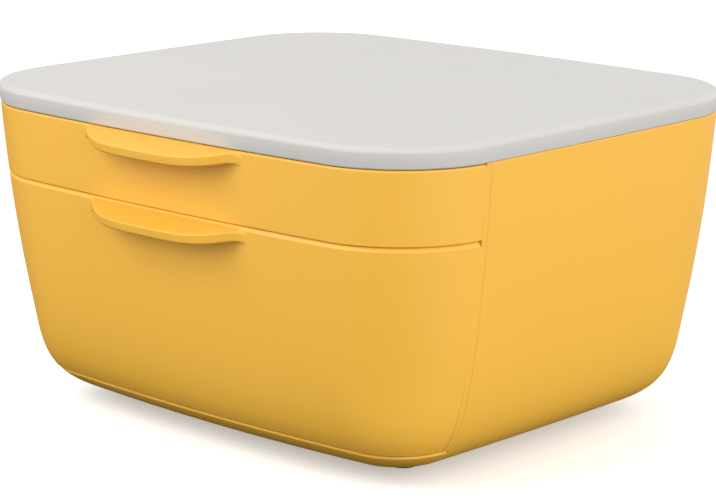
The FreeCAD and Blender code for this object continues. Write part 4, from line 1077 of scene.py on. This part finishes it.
# --------------------------------------------------------- screws and feet
b = Build()
for side in (-1.0, 1.0):
    for y, z, reach in PANEL_SCREWS:
        b.screw((side * 152.0, y, z), (side, 0, 0), 8.0)
shown(b, "panel_screws", "case", ["guide_panel_screws"], STEEL, 50.0)
b = Build()
for side in (-1.0, 1.0):
    for y in (-60.0, 105.0):
        b.screw((side * 150.2, y, 146.6), (side, 0, 0), 4.0)
shown(b, "shelf_screws", "case", ["divider_screws"], STEEL, 50.0)
b = Build()
for side in (-1.0, 1.0):
    for y in (-60.0, 30.0, 112.0):
        b.screw((side * 161.0, y, 181.3), (0, 0, 1), 8.0)
shown(b, "lid_fixing_screws", "case", ["lid_screws"], STEEL, 50.0)
for nm, fx, fy in (("front_left", -1, -1), ("front_right", 1, -1), ("rear_left", -1, 1), ("rear_right", 1, 1)):
    b = Build()
    b.turned((fx * 106.0, fy * 73.0, 0.0), (0, 0, 1),
             [(0.0, -2.45), (5.2, -2.45), (5.7, -2.62), (6.1, -2.9), (6.5, -3.0), (7.7, -3.0), (8.2, -2.94), (8.6, -2.74),
              (8.88, -2.42), (9.0, -2.0), (9.0, -0.35), (8.9, -0.1), (8.65, 0.02), (3.0, 0.02), (3.0, 3.0), (2.7, 3.1),
              (0.0, 3.1)], 56)
    shown(b, "foot_%s_pad" % nm, "case", ["foot_" + nm], RUBBER, 35.0)

# -------------------------------------------------- carried-over CAD nodes
FINISH = {"shell_yellow": YELLOW, "tray_yellow": TRAY, "lid_grey": GREY, "runner_plastic": RUNNER,
          "foot_rubber": RUBBER, "screw_steel": STEEL}
for row in frame["record"]["subparts"]:
    ob = NODES[row["node"]]
    ob.data.materials.clear()
    ob.data.materials.append(FINISH[row["material_slot"]])

# -------------------------------------------------------------------- stage
fl = bmesh.new()
bmesh.ops.create_grid(fl, x_segments=12, y_segments=12, size=9.0)
me = bpy.data.meshes.new("floor")
fl.to_mesh(me)
fl.free()
floor = bpy.data.objects.new("floor", me)
bpy.context.scene.collection.objects.link(floor)
FLOOR = plastic("floor_pale", (0.90, 0.90, 0.895), (0.915, 0.915, 0.91), 0.75, grain=60.0, bump=0.01, cloud=0.8,
                spec=0.2)
me.materials.append(FLOOR)

# A backlit studio table: pale top with a little light of its own.
glow = FLOOR.node_tree.nodes["Principled BSDF"]
glow.inputs["Emission Color"].default_value = (1.0, 0.99, 0.98, 1.0)
glow.inputs["Emission Strength"].default_value = 0.34

# The floor takes the object's soft shadow but throws no light back up at it.
floor.visible_diffuse = False
floor.visible_glossy = False
floor.visible_shadow = False

# Studio: broad white softboxes on a dark surround, given as smooth lobes of
# light by direction: (azimuth from the front towards +X, elevation, width
# exponent, brightness).
LOBES = ((89.0, 7.0, 3.1, 3.52), (-27.0, 19.0, 3.0, 1.97), (-161.0, 20.0, 3.1, 1.25), (-160.0, 5.0, 1.5, 0.45),
         (0.0, 90.0, 3.0, 0.12))
world = bpy.data.worlds.new("studio")
bpy.context.scene.world = world
world.use_nodes = True
wt = world.node_tree
wb = wt.nodes["Background"]
wc = wt.nodes.new("ShaderNodeTexCoord")
total = None
for az, el, width, power in LOBES:
    az, el = math.radians(az), math.radians(el)
    dot = wt.nodes.new("ShaderNodeVectorMath")
    dot.operation = "DOT_PRODUCT"
    dot.inputs[1].default_value = (math.sin(az) * math.cos(el), -math.cos(az) * math.cos(el), math.sin(el))
    wt.links.new(wc.outputs["Generated"], dot.inputs[0])
    pos = wt.nodes.new("ShaderNodeMath")
    pos.operation = "MAXIMUM"
    pos.inputs[1].default_value = 0.0
    wt.links.new(dot.outputs["Value"], pos.inputs[0])
    lob = wt.nodes.new("ShaderNodeMath")
    lob.operation = "POWER"
    lob.inputs[1].default_value = width
    wt.links.new(pos.outputs[0], lob.inputs[0])
    add = wt.nodes.new("ShaderNodeMath")
    add.operation = "MULTIPLY_ADD"
    add.inputs[1].default_value = power
    wt.links.new(lob.outputs[0], add.inputs[0])
    if total is not None:
        wt.links.new(total, add.inputs[2])
    else:
        add.inputs[2].default_value = 0.0
    total = add.outputs[0]
height = wt.nodes.new("ShaderNodeSeparateXYZ")
wt.links.new(wc.outputs["Generated"], height.inputs[0])
dim = wt.nodes.new("ShaderNodeMapRange")
dim.interpolation_type = "SMOOTHSTEP"
dim.inputs["From Min"].default_value = -0.65
dim.inputs["From Max"].default_value = 0.05
dim.inputs["To Min"].default_value = 0.0
dim.inputs["To Max"].default_value = 1.0
wt.links.new(height.outputs["Z"], dim.inputs["Value"])
low = wt.nodes.new("ShaderNodeMath")
low.operation = "MULTIPLY"
wt.links.new(total, low.inputs[0])
wt.links.new(dim.outputs["Result"], low.inputs[1])
total = low.outputs[0]
wb.inputs["Color"].default_value = (1, 1, 1, 1)
wt.links.new(total, wb.inputs["Strength"])

# A square softbox up at the left, turned towards the unit.
box_light = bpy.data.lights.new("softbox_left", "AREA")
box_light.shape = "SQUARE"
box_light.size = 0.9
box_light.energy = 7.7
box_ob = bpy.data.objects.new("softbox_left", box_light)
box_at = Vector((-0.45, -1.0, 0.9))
box_ob.location = box_at
box_ob.rotation_euler = (Vector((0.0, 0.0, 0.10)) - box_at).to_track_quat("-Z", "Y").to_euler()
bpy.context.scene.collection.objects.link(box_ob)

# ------------------------------------------------------------------- camera
AZ, EL, ROLL = 0.7556, 0.2212, 0.0008
F_PX, CX, CY, DIST = 2525.2235, 355.3, 237.6469, 1530.175
back = Vector((math.sin(AZ) * math.cos(EL), -math.cos(AZ) * math.cos(EL), math.sin(EL)))
right_v = Vector((math.cos(AZ), math.sin(AZ), 0))
up_v = back.cross(right_v)
r2 = math.cos(ROLL) * right_v + math.sin(ROLL) * up_v
u2 = -math.sin(ROLL) * right_v + math.cos(ROLL) * up_v
eye = (Vector((0, SHIFT_Y, 100.0 + SHIFT_Z)) + back * DIST) / 1000.0
cam_data = bpy.data.cameras.new("photo_view")
cam_data.sensor_width = 36.0
cam_data.lens = F_PX * 36.0 / 716.0
cam_data.shift_x = (358.0 - CX) / 716.0
cam_data.shift_y = (CY - 250.0) / 716.0
cam_data.clip_start, cam_data.clip_end = 0.05, 60.0
cam = bpy.data.objects.new("photo_view", cam_data)
cam.matrix_world = Matrix((
    (r2.x, u2.x, back.x, eye.x), (r2.y, u2.y, back.y, eye.y), (r2.z, u2.z, back.z, eye.z), (0, 0, 0, 1)))
bpy.context.scene.collection.objects.link(cam)
bpy.context.scene.camera = cam
bpy.context.scene.view_settings.view_transform = "Standard"
bpy.context.scene.view_settings.look = "None"
